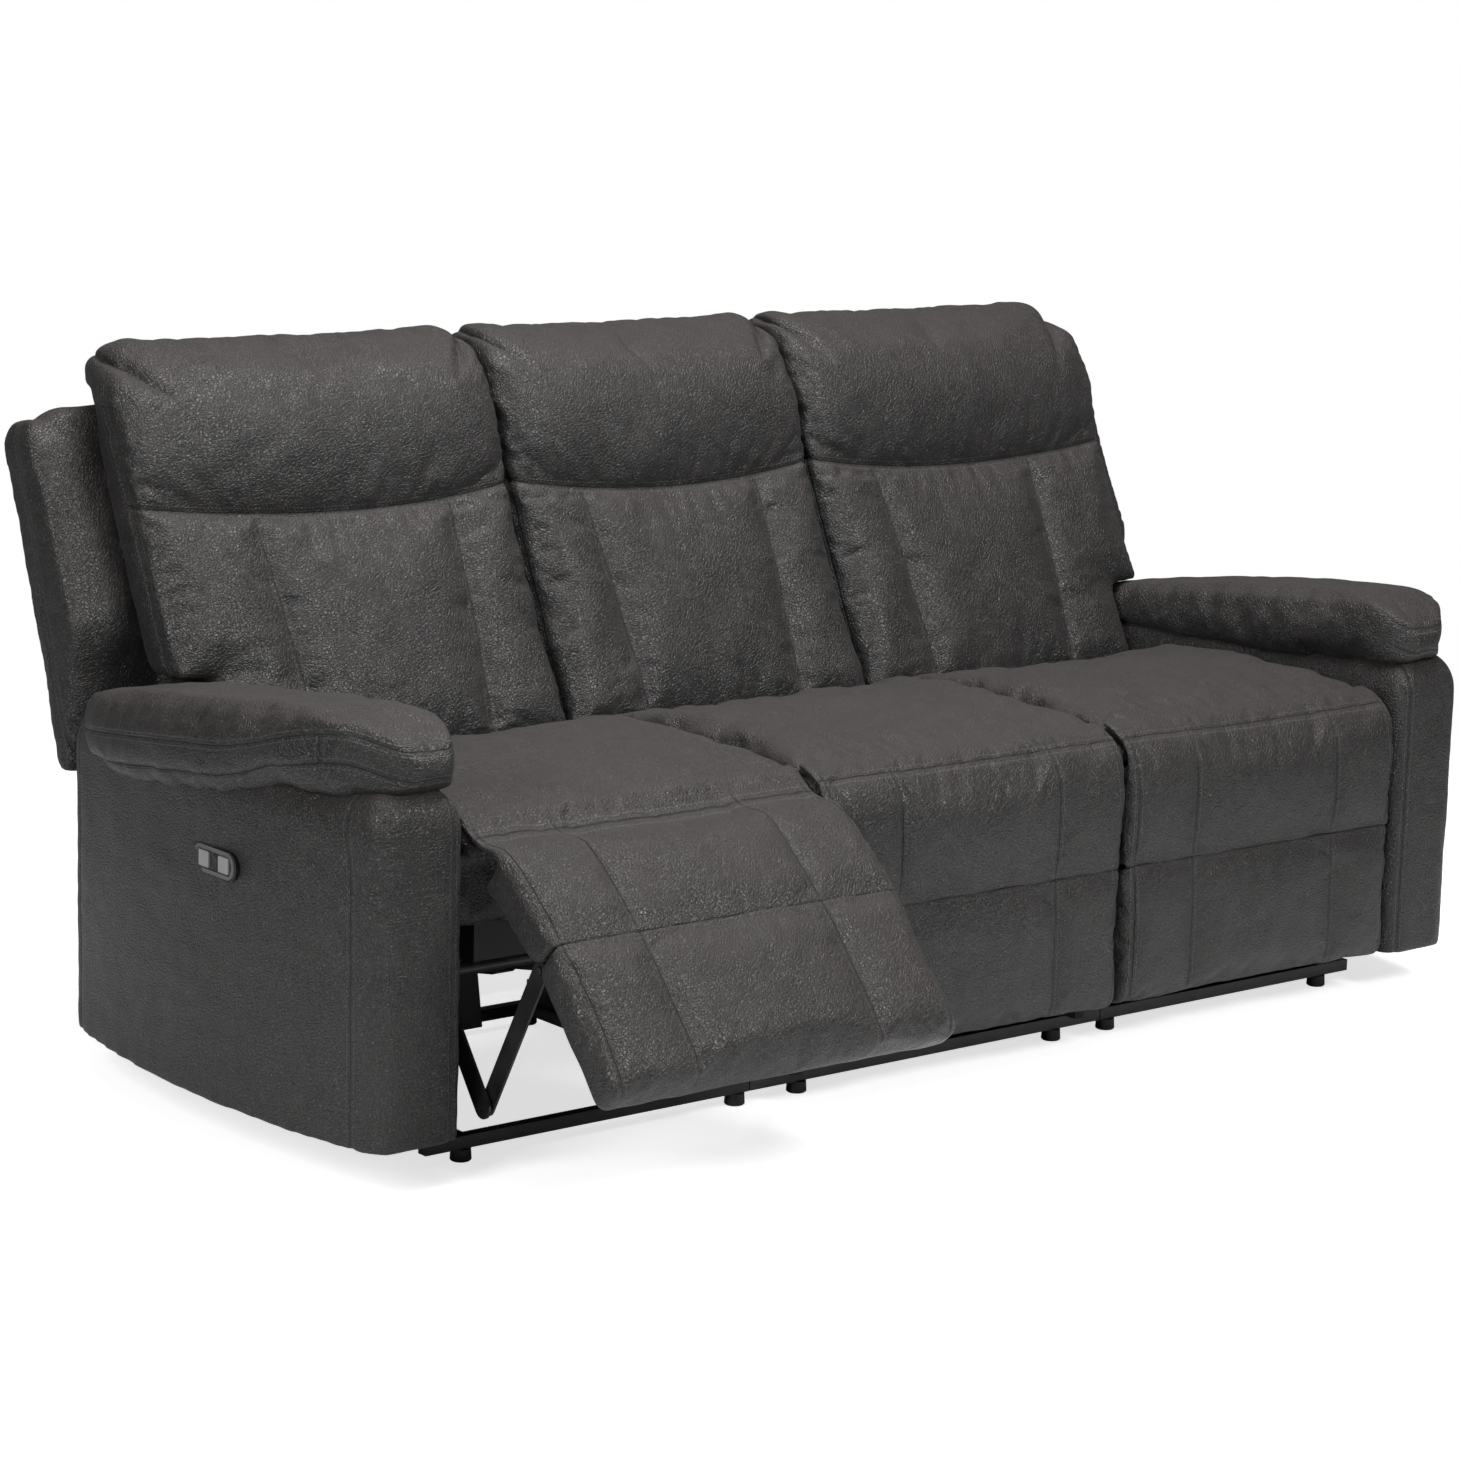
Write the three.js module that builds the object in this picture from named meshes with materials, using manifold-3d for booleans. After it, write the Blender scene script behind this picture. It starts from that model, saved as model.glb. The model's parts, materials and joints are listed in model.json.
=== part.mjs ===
// Three-seat power reclining sofa, millimetres, +Z up, -Y is the front, -X is the left as seen from the front.
// It is drawn with y = 0 on the plane of the closed front panels, then centred on its own footprint.
import * as THREE from 'three';
import { mergeVertices } from 'three/addons/utils/BufferGeometryUtils.js';
import Module from 'manifold-3d';

const wasm = await Module();
wasm.setup();

// ---------------------------------------------------------------- driving dimensions
const seatWidth = 590;            // one seat, between the lines where cushions meet
const seamGap = 4;                // half the space between two neighbouring seats
const armGap = 9;                 // end seat cushion to arm
const armThickness = 141;
const armBow = 48;                // how far the outer arm panel curves outwards
const armDepth = 779;
const armBottom = 60;
const armTop = 548;
const armRound = 70;              // round of the arm's upper edges
const padTop = 640;               // highest line of the arm pad
const padOverhang = 15;           // arm pad beyond the arm's outer panel
const seatTop = 490;
const seatCushionHeight = 158;
const seatRear = 572;
const foldZ = 281;                // fold between the two front panels when closed
const frontBottom = 71;           // lower edge of the closed front panels
const padThickness = 58;
const rake = 25 * Math.PI / 180;  // back face from the vertical
const backBase = new THREE.Vector2(586, 446);
const backThickness = 104;        // padding in front of the back shell
const backTop = 1040;
const shellTop = 962;
const wingOut = 1050;             // outer edge of the back shell, from the middle
const cushionOut = 952;           // outer edge of the end back cushion above the arm pad
const cushionStep = 608;          // above this height the back cushion is wider
const footHeight = 18;
const footRadius = 15;
const tube = 18;                  // square steel tube of the bases
const frontTubeY = 99;
const rearTubeY = 610;
const plate = 4;                  // steel plate and link thickness
const linkSpace = 4;              // space between the layers of the linkage
const fit = 0.5;                  // clearance round pins, buttons and tubes
const touch = 0.6;                // space left where two pieces rest on each other
const deg = Math.PI / 180;

// motion: the opening angle turns the upper front pad, and everything else follows it in fixed ratios
const leftOpening = 52;
const rightOpening = 0;
const footrestRatio = -0.21;
const driveRatio = 1.033;
const liftRatio = -1.096;
const rodRatio = 0.7326;          // mm of rod per degree of opening

// pivots in the side view (y, z), all given for the closed seat
const hipPivot = new THREE.Vector2(0, seatTop + 6);
const foldPivot = new THREE.Vector2(0, foldZ);
const shaftPivot = new THREE.Vector2(133.7, 257);
const elbowPivot = new THREE.Vector2(190.3, 68.2);
const bracketPivot = new THREE.Vector2(86.5, 285.2);
const leverTip = new THREE.Vector2(168.2, 228.1);
const rodTip = new THREE.Vector2(169.5, 217.5);
const motorMount = new THREE.Vector2(560, 150);
const reclinePivot = new THREE.Vector2(645, 385);

// places worked out from the sizes above
const seatEdge = seatWidth / 2;
const seatOuter = seatWidth * 1.5;
const armInner = seatOuter + armGap;
const armOuter = armInner + armThickness;
const armCrown = armOuter + armBow;
const seatBottom = seatTop - seatCushionHeight;

// ---------------------------------------------------------------- materials
function finish(color, roughness, metalness) {
  return new THREE.MeshStandardMaterial({ color, roughness, metalness });
}
const leather = finish(0x3d3a38, 0.55, 0);
const liner = finish(0x1c1b1b, 0.95, 0);
const steel = finish(0x141415, 0.45, 0.7);
const plywood = finish(0x9a7a52, 0.8, 0);
const footPlastic = finish(0x111111, 0.6, 0);
const panelGrey = finish(0x5d5f61, 0.35, 0.2);
const buttonGrey = finish(0x8d8f90, 0.5, 0);

// ---------------------------------------------------------------- geometry helpers
function outline(points, radius = 0) {
  const shape = new THREE.Shape();
  const count = points.length;
  for (let i = 0; i < count; i += 1) {
    const here = points[i];
    const before = points[(i + count - 1) % count];
    const after = points[(i + 1) % count];
    const round = Math.min(here[2] ?? radius, 0.45 * Math.hypot(before[0] - here[0], before[1] - here[1]),
      0.45 * Math.hypot(after[0] - here[0], after[1] - here[1]));
    const corner = new THREE.Vector2(here[0], here[1]);
    const enter = corner.clone().lerp(new THREE.Vector2(before[0], before[1]),
      round / Math.hypot(before[0] - here[0], before[1] - here[1]));
    const leave = corner.clone().lerp(new THREE.Vector2(after[0], after[1]),
      round / Math.hypot(after[0] - here[0], after[1] - here[1]));
    if (i === 0) shape.moveTo(enter.x, enter.y);
    else shape.lineTo(enter.x, enter.y);
    if (round > 0) shape.quadraticCurveTo(corner.x, corner.y, leave.x, leave.y);
  }
  shape.closePath();
  return shape;
}

// A side-view outline (y, z) made solid between two x values.
function sideSolid(shape, x0, x1, curveSegments = 4) {
  const low = Math.min(x0, x1);
  const geometry = new THREE.ExtrudeGeometry(shape, { depth: Math.abs(x1 - x0), bevelEnabled: false, curveSegments });
  geometry.applyMatrix4(new THREE.Matrix4().makeBasis(
    new THREE.Vector3(0, 1, 0), new THREE.Vector3(0, 0, 1), new THREE.Vector3(1, 0, 0)));
  geometry.translate(low, 0, 0);
  return geometry;
}

function block(x0, x1, y0, y1, z0, z1) {
  const geometry = new THREE.BoxGeometry(Math.abs(x1 - x0), y1 - y0, z1 - z0);
  geometry.translate((x0 + x1) / 2, (y0 + y1) / 2, (z0 + z1) / 2);
  return geometry;
}

// A rod along X.
function crossRod(centre, radius, x0, x1, sides = 20) {
  const geometry = new THREE.CylinderGeometry(radius, radius, Math.abs(x1 - x0), sides);
  geometry.rotateZ(Math.PI / 2);
  geometry.translate((x0 + x1) / 2, centre.x, centre.y);
  return geometry;
}

function toSolid(geometry) {
  const bare = geometry.clone();
  bare.deleteAttribute('normal');
  bare.deleteAttribute('uv');
  const merged = mergeVertices(bare, 1e-3);
  return new wasm.Manifold(new wasm.Mesh({
    numProp: 3,
    vertProperties: new Float32Array(merged.attributes.position.array),
    triVerts: new Uint32Array(merged.index.array),
  }));
}

function toGeometry(solid) {
  const mesh = solid.getMesh();
  const geometry = new THREE.BufferGeometry();
  geometry.setAttribute('position', new THREE.BufferAttribute(mesh.vertProperties, 3));
  geometry.setIndex(new THREE.BufferAttribute(mesh.triVerts, 1));
  geometry.computeVertexNormals();
  return geometry;
}

function join(...pieces) {
  return toGeometry(pieces.map(toSolid).reduce((sum, next) => sum.add(next)));
}

function cut(piece, ...tools) {
  return toGeometry(tools.map(toSolid).reduce((rest, tool) => rest.subtract(tool), toSolid(piece)));
}

function common(a, b) {
  return toGeometry(toSolid(a).intersect(toSolid(b)));
}

const sofa = new THREE.Group();

function add(parent, name, geometry, material) {
  const mesh = new THREE.Mesh(geometry, material);
  mesh.name = name;
  parent.add(mesh);
  return mesh;
}

// A group that turns about an X-wise pivot given in its parent's closed frame; positive opens the seat.
function hinge(parent, pivot, degrees) {
  const outer = new THREE.Group();
  const inner = new THREE.Group();
  outer.position.set(0, pivot.x, pivot.y);
  outer.rotation.x = -degrees * deg;
  inner.position.set(0, -pivot.x, -pivot.y);
  outer.add(inner);
  parent.add(outer);
  return inner;
}

// ---------------------------------------------------------------- arms
// The arm in plan is a box with a bowed outer side; its upper edges are rounded.
function armSolid(side, grow = 0) {
  const inset = armRound;
  const shape = new THREE.Shape();
  shape.moveTo(armInner + inset, inset);
  shape.lineTo(armOuter - inset, inset);
  shape.quadraticCurveTo(armOuter + 2 * armBow - inset, armDepth / 2, armOuter - inset, armDepth - inset);
  shape.lineTo(armInner + inset, armDepth - inset);
  shape.closePath();
  const depth = armTop - armBottom - armRound;
  const geometry = new THREE.ExtrudeGeometry(shape, {
    depth, bevelEnabled: true, bevelThickness: armRound, bevelSize: armRound,
    bevelOffset: grow, bevelSegments: 5, curveSegments: 16,
  });
  geometry.translate(0, 0, armBottom + grow);
  const keep = block(armInner - 50, armCrown + 50, -50, armDepth + 50, armBottom - grow, armTop + 50);
  const solid = common(geometry, keep);
  return side < 0 ? mirrorX(solid) : solid;
}

function mirrorX(geometry) {
  const flipped = geometry.clone();
  flipped.scale(-1, 1, 1);
  const index = flipped.index;
  for (let i = 0; i < index.count; i += 3) {
    const keep = index.getX(i);
    index.setX(i, index.getX(i + 1));
    index.setX(i + 1, keep);
  }
  flipped.computeVertexNormals();
  return flipped;
}

const panelY = 329;
const panelZ = 399;
const panelLength = 118;
const panelHeight = 40;
const panelThickness = 7;
const pocketDepth = 13;
const panelFace = armOuter + 2 * armBow * 2 * (panelY / armDepth) * (1 - panelY / armDepth) + 3;
const buttonLength = 25;
const buttonHeight = 22;
const buttonPlace = 25;           // button centre from the middle of the plate

function stadium(length, height, y, z) {
  const radius = height / 2;
  const half = length / 2 - radius;
  const shape = new THREE.Shape();
  shape.moveTo(y - half, z - radius);
  shape.lineTo(y + half, z - radius);
  shape.absarc(y + half, z, radius, -Math.PI / 2, Math.PI / 2);
  shape.lineTo(y - half, z + radius);
  shape.absarc(y - half, z, radius, Math.PI / 2, 1.5 * Math.PI);
  return shape;
}

function rectangle(length, height, y, z, radius) {
  return outline([
    [y - length / 2, z - height / 2], [y + length / 2, z - height / 2],
    [y + length / 2, z + height / 2], [y - length / 2, z + height / 2]], radius);
}

function addArm(side, name) {
  const pocket = sideSolid(stadium(panelLength + 2 * fit, panelHeight + 2 * fit, panelY, panelZ),
    side * (panelFace - pocketDepth), side * (panelFace + 20), 8);
  add(sofa, `${name}_arm`, cut(armSolid(side), pocket), leather);

  // the pad's crown rises towards its nose, and its outer side hangs down over the arm
  const pad = sideSolid(outline([
    [armDepth + 8, 466, 12], [armDepth - 4, 520, 30], [armDepth - 80, padTop - 80, 40], [400, padTop - 38, 60],
    [180, padTop - 6, 60], [70, padTop, 40], [12, padTop - 16, 25], [-4, padTop - 44, 20], [4, armTop + 18, 14],
    [40, armTop + 4, 10], [130, armTop - 10, 20], [367, 466, 60], [511, 446, 60], [690, 430, 40],
  ]), side * (armInner - 6), side * (armCrown + padOverhang), 5);
  const innerRelief = block(side * (armInner - 20), side * (armInner + 20), -200, armDepth + 100, 300, 506);
  add(sofa, `${name}_arm_pad`, cut(pad, armSolid(side, 1), innerRelief), leather);

  const face = side * panelFace;
  const back = side * (panelFace - panelThickness);
  const window = sideSolid(rectangle(84, 27, panelY, panelZ, 4), side * (panelFace - 2), side * (panelFace + 9), 3);
  const socket = sideSolid(rectangle(8, 15, panelY, panelZ, 1.5), side * (panelFace - 20), side * (panelFace + 9), 2);
  const holes = [-1, 1].map((end) => sideSolid(
    rectangle(buttonLength + 2 * fit, buttonHeight + 2 * fit, panelY + end * buttonPlace, panelZ, 2.5),
    side * (panelFace - 20), side * (panelFace + 9), 3));
  add(sofa, `${name}_control_plate`,
    cut(sideSolid(stadium(panelLength, panelHeight, panelY, panelZ), face, back, 8), window, socket, ...holes), panelGrey);
  for (const [end, use] of [[-1, 'open'], [1, 'close']]) {
    add(sofa, `${name}_button_${use}`, sideSolid(
      rectangle(buttonLength, buttonHeight, panelY + end * buttonPlace, panelZ, 2),
      side * (panelFace - panelThickness - 2), side * (panelFace + 0.5), 3), buttonGrey);
  }
}
addArm(-1, 'left');
addArm(1, 'right');

// ---------------------------------------------------------------- backs
function faceY(z) {
  return backBase.x + (z - backBase.y) * Math.tan(rake);
}
const shellFrontOffset = backThickness + touch;
const shellRearBase = 835;        // rear of the shell at its lower edge
const shellRearSlope = 0.34;
const shellBottom = 425;
function rearY(z) {
  return shellRearBase + (z - shellBottom) * shellRearSlope;
}

// The pillow top wraps over the shell.
function backCushion(x0, x1, bottom) {
  return sideSolid(outline([
    [faceY(bottom), bottom, 20], [faceY(backTop - 40), backTop - 40, 60], [faceY(backTop) + 20, backTop, 40],
    [rearY(shellTop) - 40, backTop - 12, 40], [rearY(shellTop) - 30, shellTop + touch, 20],
    [faceY(shellTop) + backThickness, shellTop + touch, 0], [faceY(bottom) + backThickness, bottom, 10],
  ]), x0, x1);
}

function shellUpper(x0, x1) {
  return sideSolid(outline([
    [faceY(shellBottom + 6) + shellFrontOffset, shellBottom + 6, 0],
    [faceY(shellTop) + shellFrontOffset, shellTop, 12], [rearY(shellTop), shellTop, 40],
    [rearY(shellBottom), shellBottom, 10],
  ]), x0, x1);
}

// Beside the seat the shell is a wing that stays behind the arm and its pad.
function shellWing(x0, x1) {
  const clearY = armDepth + 18;
  return sideSolid(outline([
    [clearY, shellBottom, 8], [clearY, 566, 20], [faceY(640) + shellFrontOffset, 640, 0],
    [faceY(shellTop - 14) + shellFrontOffset, shellTop - 14, 25], [rearY(shellTop - 14), shellTop - 14, 40],
    [rearY(shellBottom), shellBottom, 10],
  ]), x0, x1);
}

// The lower part is a fan about the recline pivot, so it closes the rear while the back turns.
const fanRadius = Math.hypot(shellRearBase - reclinePivot.x, shellBottom - reclinePivot.y);
function shellFan(x0, x1) {
  const start = Math.atan2(shellBottom - reclinePivot.y, shellRearBase - reclinePivot.x);
  const end = -50 * deg;
  const shape = new THREE.Shape();
  shape.moveTo(faceY(shellBottom + 8) + shellFrontOffset, shellBottom + 8);
  shape.lineTo(reclinePivot.x - 8, reclinePivot.y + 24);
  shape.lineTo(reclinePivot.x - 24, reclinePivot.y);
  shape.lineTo(reclinePivot.x - 8, reclinePivot.y - 24);
  for (let step = 0; step <= 8; step += 1) {
    const angle = end + (start - end) * step / 8;
    shape.lineTo(reclinePivot.x + fanRadius * Math.cos(angle), reclinePivot.y + fanRadius * Math.sin(angle));
  }
  shape.lineTo(rearY(shellBottom + 8), shellBottom + 8);
  shape.closePath();
  return sideSolid(shape, x0, x1);
}

// ---------------------------------------------------------------- bases and feet
const railInner = 365;            // foot and side rail lines of the end seats, from the middle
const railOuter = 837;
const centreRail = 251;
const tubeJoint = 345;            // where the front tubes of two bases meet
const plateInner = seatEdge + 25;
const plateOuter = seatOuter - 19;

function addFeet(name, lines) {
  for (const [place, y] of [['front', frontTubeY], ['rear', rearTubeY]]) {
    lines.forEach((x, number) => {
      const foot = new THREE.LatheGeometry([
        new THREE.Vector2(0, 0), new THREE.Vector2(footRadius - 2, 0), new THREE.Vector2(footRadius, 2),
        new THREE.Vector2(footRadius - 1, footHeight - touch), new THREE.Vector2(0, footHeight - touch)], 20);
      foot.rotateX(Math.PI / 2);
      foot.translate(x, y, 0);
      add(sofa, `${name}_foot_${place}_${number + 1}`, foot, footPlastic);
    });
  }
}

function tubeAlongX(x0, x1, y, z) {
  return block(x0, x1, y - tube / 2, y + tube / 2, z, z + tube);
}

function tubeAlongY(x, y0, y1, z) {
  return block(x - tube / 2, x + tube / 2, y0, y1, z, z + tube);
}

// The welded steel frame of one end seat: floor tubes, side plates with hinge ears, posts and cross bars.
const plateLow = 190;
const plateHigh = 278;
const crossBarHeight = 25;
function mechanismFrame(side) {
  const low = footHeight;
  const ear = outline([
    [82, plateLow + 6, 10], [82, plateHigh, 10], [575, plateHigh, 20], [612, reclinePivot.y + 20, 20],
    [676, reclinePivot.y + 20, 25], [684, plateLow, 15]]);
  const pieces = [
    tubeAlongX(side * (tubeJoint + 1), side * (armInner + 6), frontTubeY, low),
    tubeAlongX(side * (railInner - 12), side * (railOuter + 12), rearTubeY, low),
  ];
  for (const [rail, inner] of [[railInner, plateInner], [railOuter, plateOuter]]) {
    const outward = inner > rail ? plate : -plate;
    pieces.push(tubeAlongY(side * rail, frontTubeY, rearTubeY, low));
    const wedge = outline([
      [frontTubeY, low + tube - 1], [frontTubeY + 30, low + tube + 6], [rearTubeY, low + tube + 34],
      [rearTubeY, low + tube - 1]]);
    pieces.push(sideSolid(wedge, side * (rail - 2), side * (rail + 2)));
    const holes = [crossRod(shaftPivot, 10 + fit, side * (inner - 20), side * (inner + 20)),
      crossRod(reclinePivot, 6 + fit, side * (inner - 20), side * (inner + 20))];
    pieces.push(cut(sideSolid(ear, side * inner, side * (inner + outward)), ...holes));
    for (const y of [360, 560]) {
      pieces.push(block(side * (rail - 3), side * (inner + outward), y, y + 34, low + 4, plateLow + 30));
    }
  }
  for (const y of [250, 520]) {
    pieces.push(block(side * plateInner, side * plateOuter, y, y + crossBarHeight,
      plateHigh - crossBarHeight, plateHigh - 1));
  }
  // lug that carries the rear end of the motor
  pieces.push(sideSolid(outline([[motorMount.x - 16, motorMount.y - 14, 8], [motorMount.x + 20, motorMount.y - 14, 8],
    [motorMount.x + 20, 210], [546, plateHigh - 1], [521, plateHigh - 1], [motorMount.x - 16, 190]]),
  side * (seatWidth + 12), side * (seatWidth + 18)));
  return cut(join(...pieces), crossRod(motorMount, 5 + fit, side * seatWidth, side * (seatWidth + 30)));
}

// ---------------------------------------------------------------- links
function bar(from, to, halfWidth) {
  const direction = to.clone().sub(from);
  const angle = Math.atan2(direction.y, direction.x);
  const shape = new THREE.Shape();
  shape.absarc(to.x, to.y, halfWidth, angle - Math.PI / 2, angle + Math.PI / 2);
  shape.absarc(from.x, from.y, halfWidth, angle + Math.PI / 2, angle + 1.5 * Math.PI);
  shape.closePath();
  return shape;
}

// ---------------------------------------------------------------- seats
// The end seat's cushion stands back from the swing of the upper front pad.
function seatCushion(x0, x1) {
  const noseZ = hipPivot.y - 44;
  return sideSolid(outline([
    [padThickness + 8, seatBottom, 6], [padThickness + 8, noseZ, 4], [13, noseZ, 6], [13, seatTop - 4, 16],
    [60, seatTop, 10], [seatRear - 40, seatTop - 6, 20], [seatRear, seatTop - 14, 12], [seatRear, seatBottom, 8],
  ]), x0, x1);
}

function bridgePad(x0, x1) {
  return sideSolid(outline([
    [0, foldZ + 2, 6], [0, hipPivot.y - 2, 3], [9, hipPivot.y - 2, 3], [9, hipPivot.y - 48, 2],
    [padThickness, hipPivot.y - 54, 14], [padThickness, foldZ + 24, 12],
  ]), x0, x1);
}

function footrestPad(x0, x1) {
  return sideSolid(outline([
    [0, foldZ - 2, 6], [padThickness, foldZ - 14, 10], [padThickness, frontBottom, 16], [0, frontBottom, 24],
  ]), x0, x1);
}

function addEndSeat(side, name, opening) {
  const near = side * (seatEdge + seamGap);
  const far = side * seatOuter;
  const layer = (inner, step) => (inner
    ? plateInner + step * (plate + linkSpace)
    : plateOuter - step * (plate + linkSpace));
  const span = (inner, step) => {
    const start = layer(inner, step);
    return [side * start, side * (start + (inner ? -plate : plate))];
  };

  add(sofa, `${name}_mechanism_frame`, mechanismFrame(side), steel);
  addFeet(name, [side * railInner, side * railOuter]);
  const deckInset = 3 * (plate + linkSpace) + 12;
  add(sofa, `${name}_seat_deck`, block(side * (plateInner + deckInset), side * (plateOuter - deckInset),
    84, seatRear - 12, plateHigh, seatBottom - touch), plywood);
  add(sofa, `${name}_seat_cushion`, seatCushion(near, far), leather);

  // back: shell with wing, fan and hinge stubs, and its cushion
  const stub = (x) => crossRod(reclinePivot, 6, side * (x - 8), side * (x + 8));
  const fan = shellFan(side * (plateInner + 8), side * (plateOuter - 8));
  const wing = shellWing(side * (seatOuter - 2), side * wingOut);
  add(sofa, `${name}_back_shell`,
    join(shellUpper(near, side * (seatOuter + 3)), fan, wing, stub(plateInner + 2), stub(plateOuter - 2)), leather);
  const wide = backCushion(near, side * cushionOut, backBase.y);
  const notch = block(far, side * (cushionOut + 50), 400, 1100, 300, cushionStep);
  add(sofa, `${name}_back_cushion`, cut(wide, notch), leather);

  // front: upper pad on the seat's front edge, footrest on the fold
  const bridge = hinge(sofa, hipPivot, opening);
  add(bridge, `${name}_bridge_pad`, bridgePad(near, far), leather);
  const footrest = hinge(bridge, foldPivot, footrestRatio * opening);
  add(footrest, `${name}_footrest_pad`, footrestPad(near, far), leather);
  const boardBack = padThickness + touch + 12;
  const bracket = outline([[boardBack - 2, 180, 4], [boardBack - 2, foldZ - 22], [bracketPivot.x - 8, bracketPivot.y + 10, 6],
    [bracketPivot.x + 9, bracketPivot.y + 8, 8], [bracketPivot.x + 8, 180, 10]]);
  const boardPieces = [block(side * (plateInner + deckInset - 10), side * (plateOuter - deckInset + 10),
    padThickness + touch, boardBack, frontBottom + 14, foldZ - 20)];
  for (const inner of [true, false]) {
    const [a, b] = span(inner, 3);
    const reach = inner ? deckInset : -deckInset;
    boardPieces.push(sideSolid(bracket, a, b));
    boardPieces.push(block(a, side * (layer(inner, 0) + reach), padThickness + touch, boardBack, 180, foldZ - 22));
    const pinEnd = side * (layer(inner, 2) + (inner ? -plate - 2 : plate + 2));
    boardPieces.push(crossRod(bracketPivot, 5, a, pinEnd, 16));
  }
  add(footrest, `${name}_footrest_board`, join(...boardPieces), plywood);

  // drive shaft with its lever, and the two drive links that turn with it
  const drive = hinge(sofa, shaftPivot, driveRatio * opening);
  const lever = cut(sideSolid(bar(shaftPivot, leverTip, 12), side * (seatWidth - 4), side * (seatWidth + 4)),
    crossRod(leverTip, 6, side * (seatWidth - 20), side * (seatWidth + 20), 16));
  add(drive, `${name}_drive_shaft`,
    join(crossRod(shaftPivot, 10, side * (plateInner - 6), side * (plateOuter + 6)), lever), steel);
  const elbow = hinge(drive, elbowPivot, liftRatio * opening);
  for (const [inner, where] of [[true, 'inner'], [false, 'outer']]) {
    const [d0, d1] = span(inner, 1);
    const [l0, l1] = span(inner, 2);
    const holes = [crossRod(shaftPivot, 10 + fit, d0 - 20, d0 + 20), crossRod(elbowPivot, 5 + fit, d0 - 20, d0 + 20, 16)];
    add(drive, `${name}_drive_link_${where}`, cut(sideSolid(bar(shaftPivot, elbowPivot, 17), d0, d1), ...holes), steel);
    const pin = crossRod(elbowPivot, 5, l0, side * (layer(inner, 1) + (inner ? -plate - 2 : plate + 2)), 16);
    const eye = crossRod(bracketPivot, 6.5, l0 - 20, l0 + 20, 16);
    add(elbow, `${name}_lift_link_${where}`,
      join(cut(sideSolid(bar(elbowPivot, bracketPivot, 14), l0, l1), eye), pin), steel);
  }

  // motor and its rod
  const aim = rodTip.clone().sub(motorMount).normalize();
  const along = (distance) => motorMount.clone().add(aim.clone().multiplyScalar(distance));
  const reach = rodTip.distanceTo(motorMount);
  const barrel = cut(sideSolid(bar(along(40), along(200), 17), side * (seatWidth - 17), side * (seatWidth + 17), 6),
    sideSolid(bar(along(60), along(240), 9), side * (seatWidth - 9), side * (seatWidth + 9), 6));
  const body = block(side * (seatWidth - 26), side * (seatWidth + 10), -40, 40, -105, -10);
  body.rotateX(Math.atan2(-aim.y, -aim.x));
  body.translate(0, along(60).x, along(60).y);
  const clevis = sideSolid(bar(along(30), motorMount, 12), side * (seatWidth + 1), side * (seatWidth + 11));
  const motorPin = crossRod(motorMount, 5, side * (seatWidth + 2), side * (seatWidth + 22), 16);
  add(sofa, `${name}_motor`, join(barrel, body, clevis, motorPin), footPlastic);
  const slide = new THREE.Group();
  slide.position.set(0, aim.x * rodRatio * opening, aim.y * rodRatio * opening);
  sofa.add(slide);
  const rod = sideSolid(bar(along(90), along(reach - 48), 8), side * (seatWidth - 8), side * (seatWidth + 8), 6);
  const prong = (x) => sideSolid(bar(along(reach - 50), rodTip, 8), side * (x - 2), side * (x + 2));
  const yoke = block(side * (seatWidth - 12), side * (seatWidth + 12), -9.5, 9.5, -9, 9);
  yoke.rotateX(Math.atan2(-aim.y, -aim.x));
  yoke.translate(0, along(reach - 48).x, along(reach - 48).y);
  add(slide, `${name}_motor_rod`, join(rod, yoke, prong(seatWidth - 9), prong(seatWidth + 9)), steel);
}
addEndSeat(-1, 'left', leftOpening);
addEndSeat(1, 'right', rightOpening);

function addCentreSeat() {
  const edge = seatEdge - seamGap / 2;
  const low = footHeight;
  const base = join(
    tubeAlongX(-tubeJoint + 1, tubeJoint - 1, frontTubeY, low), tubeAlongX(-centreRail - 12, centreRail + 12, rearTubeY, low),
    tubeAlongY(-centreRail, frontTubeY, rearTubeY, low), tubeAlongY(centreRail, frontTubeY, rearTubeY, low));
  add(sofa, 'centre_base_frame', base, steel);
  addFeet('centre', [-centreRail, centreRail]);
  const board = 18;
  const boxFront = padThickness + 8;
  const boxRear = 700;
  const boxLow = low + tube + touch;
  const box = cut(block(-edge + 6, edge - 6, boxFront, boxRear, boxLow, seatBottom - touch),
    block(-edge + 6 + board, edge - 6 - board, boxFront - 10, boxRear + 10, boxLow - 10, plateHigh));
  const fanRoom = block(-edge - 10, edge + 10, 588, boxRear + 10, plateHigh - 110, seatBottom + 10);
  add(sofa, 'centre_seat_box', cut(box, fanRoom), plywood);
  add(sofa, 'centre_seat_cushion', seatCushion(-edge, edge), leather);
  add(sofa, 'centre_front_upper_panel', bridgePad(-edge, edge), leather);
  add(sofa, 'centre_front_lower_panel', footrestPad(-edge, edge), leather);
  add(sofa, 'centre_back_shell', join(shellUpper(-edge, edge), shellFan(-edge + 6, edge - 6)), leather);
  add(sofa, 'centre_back_cushion', backCushion(-edge, edge, backBase.y), leather);
}
addCentreSeat();

// the panel across the rear ends just below the sweep of the back shells' fans
const rearPanelThickness = 30;
const sweepGap = 4;
const rearPanelTop = reclinePivot.y - sweepGap
  - Math.sqrt(fanRadius ** 2 - (armDepth - rearPanelThickness - reclinePivot.x) ** 2);
add(sofa, 'rear_panel', block(-armInner + 2, armInner - 2, armDepth - rearPanelThickness, armDepth,
  armBottom, rearPanelTop), leather);

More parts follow.
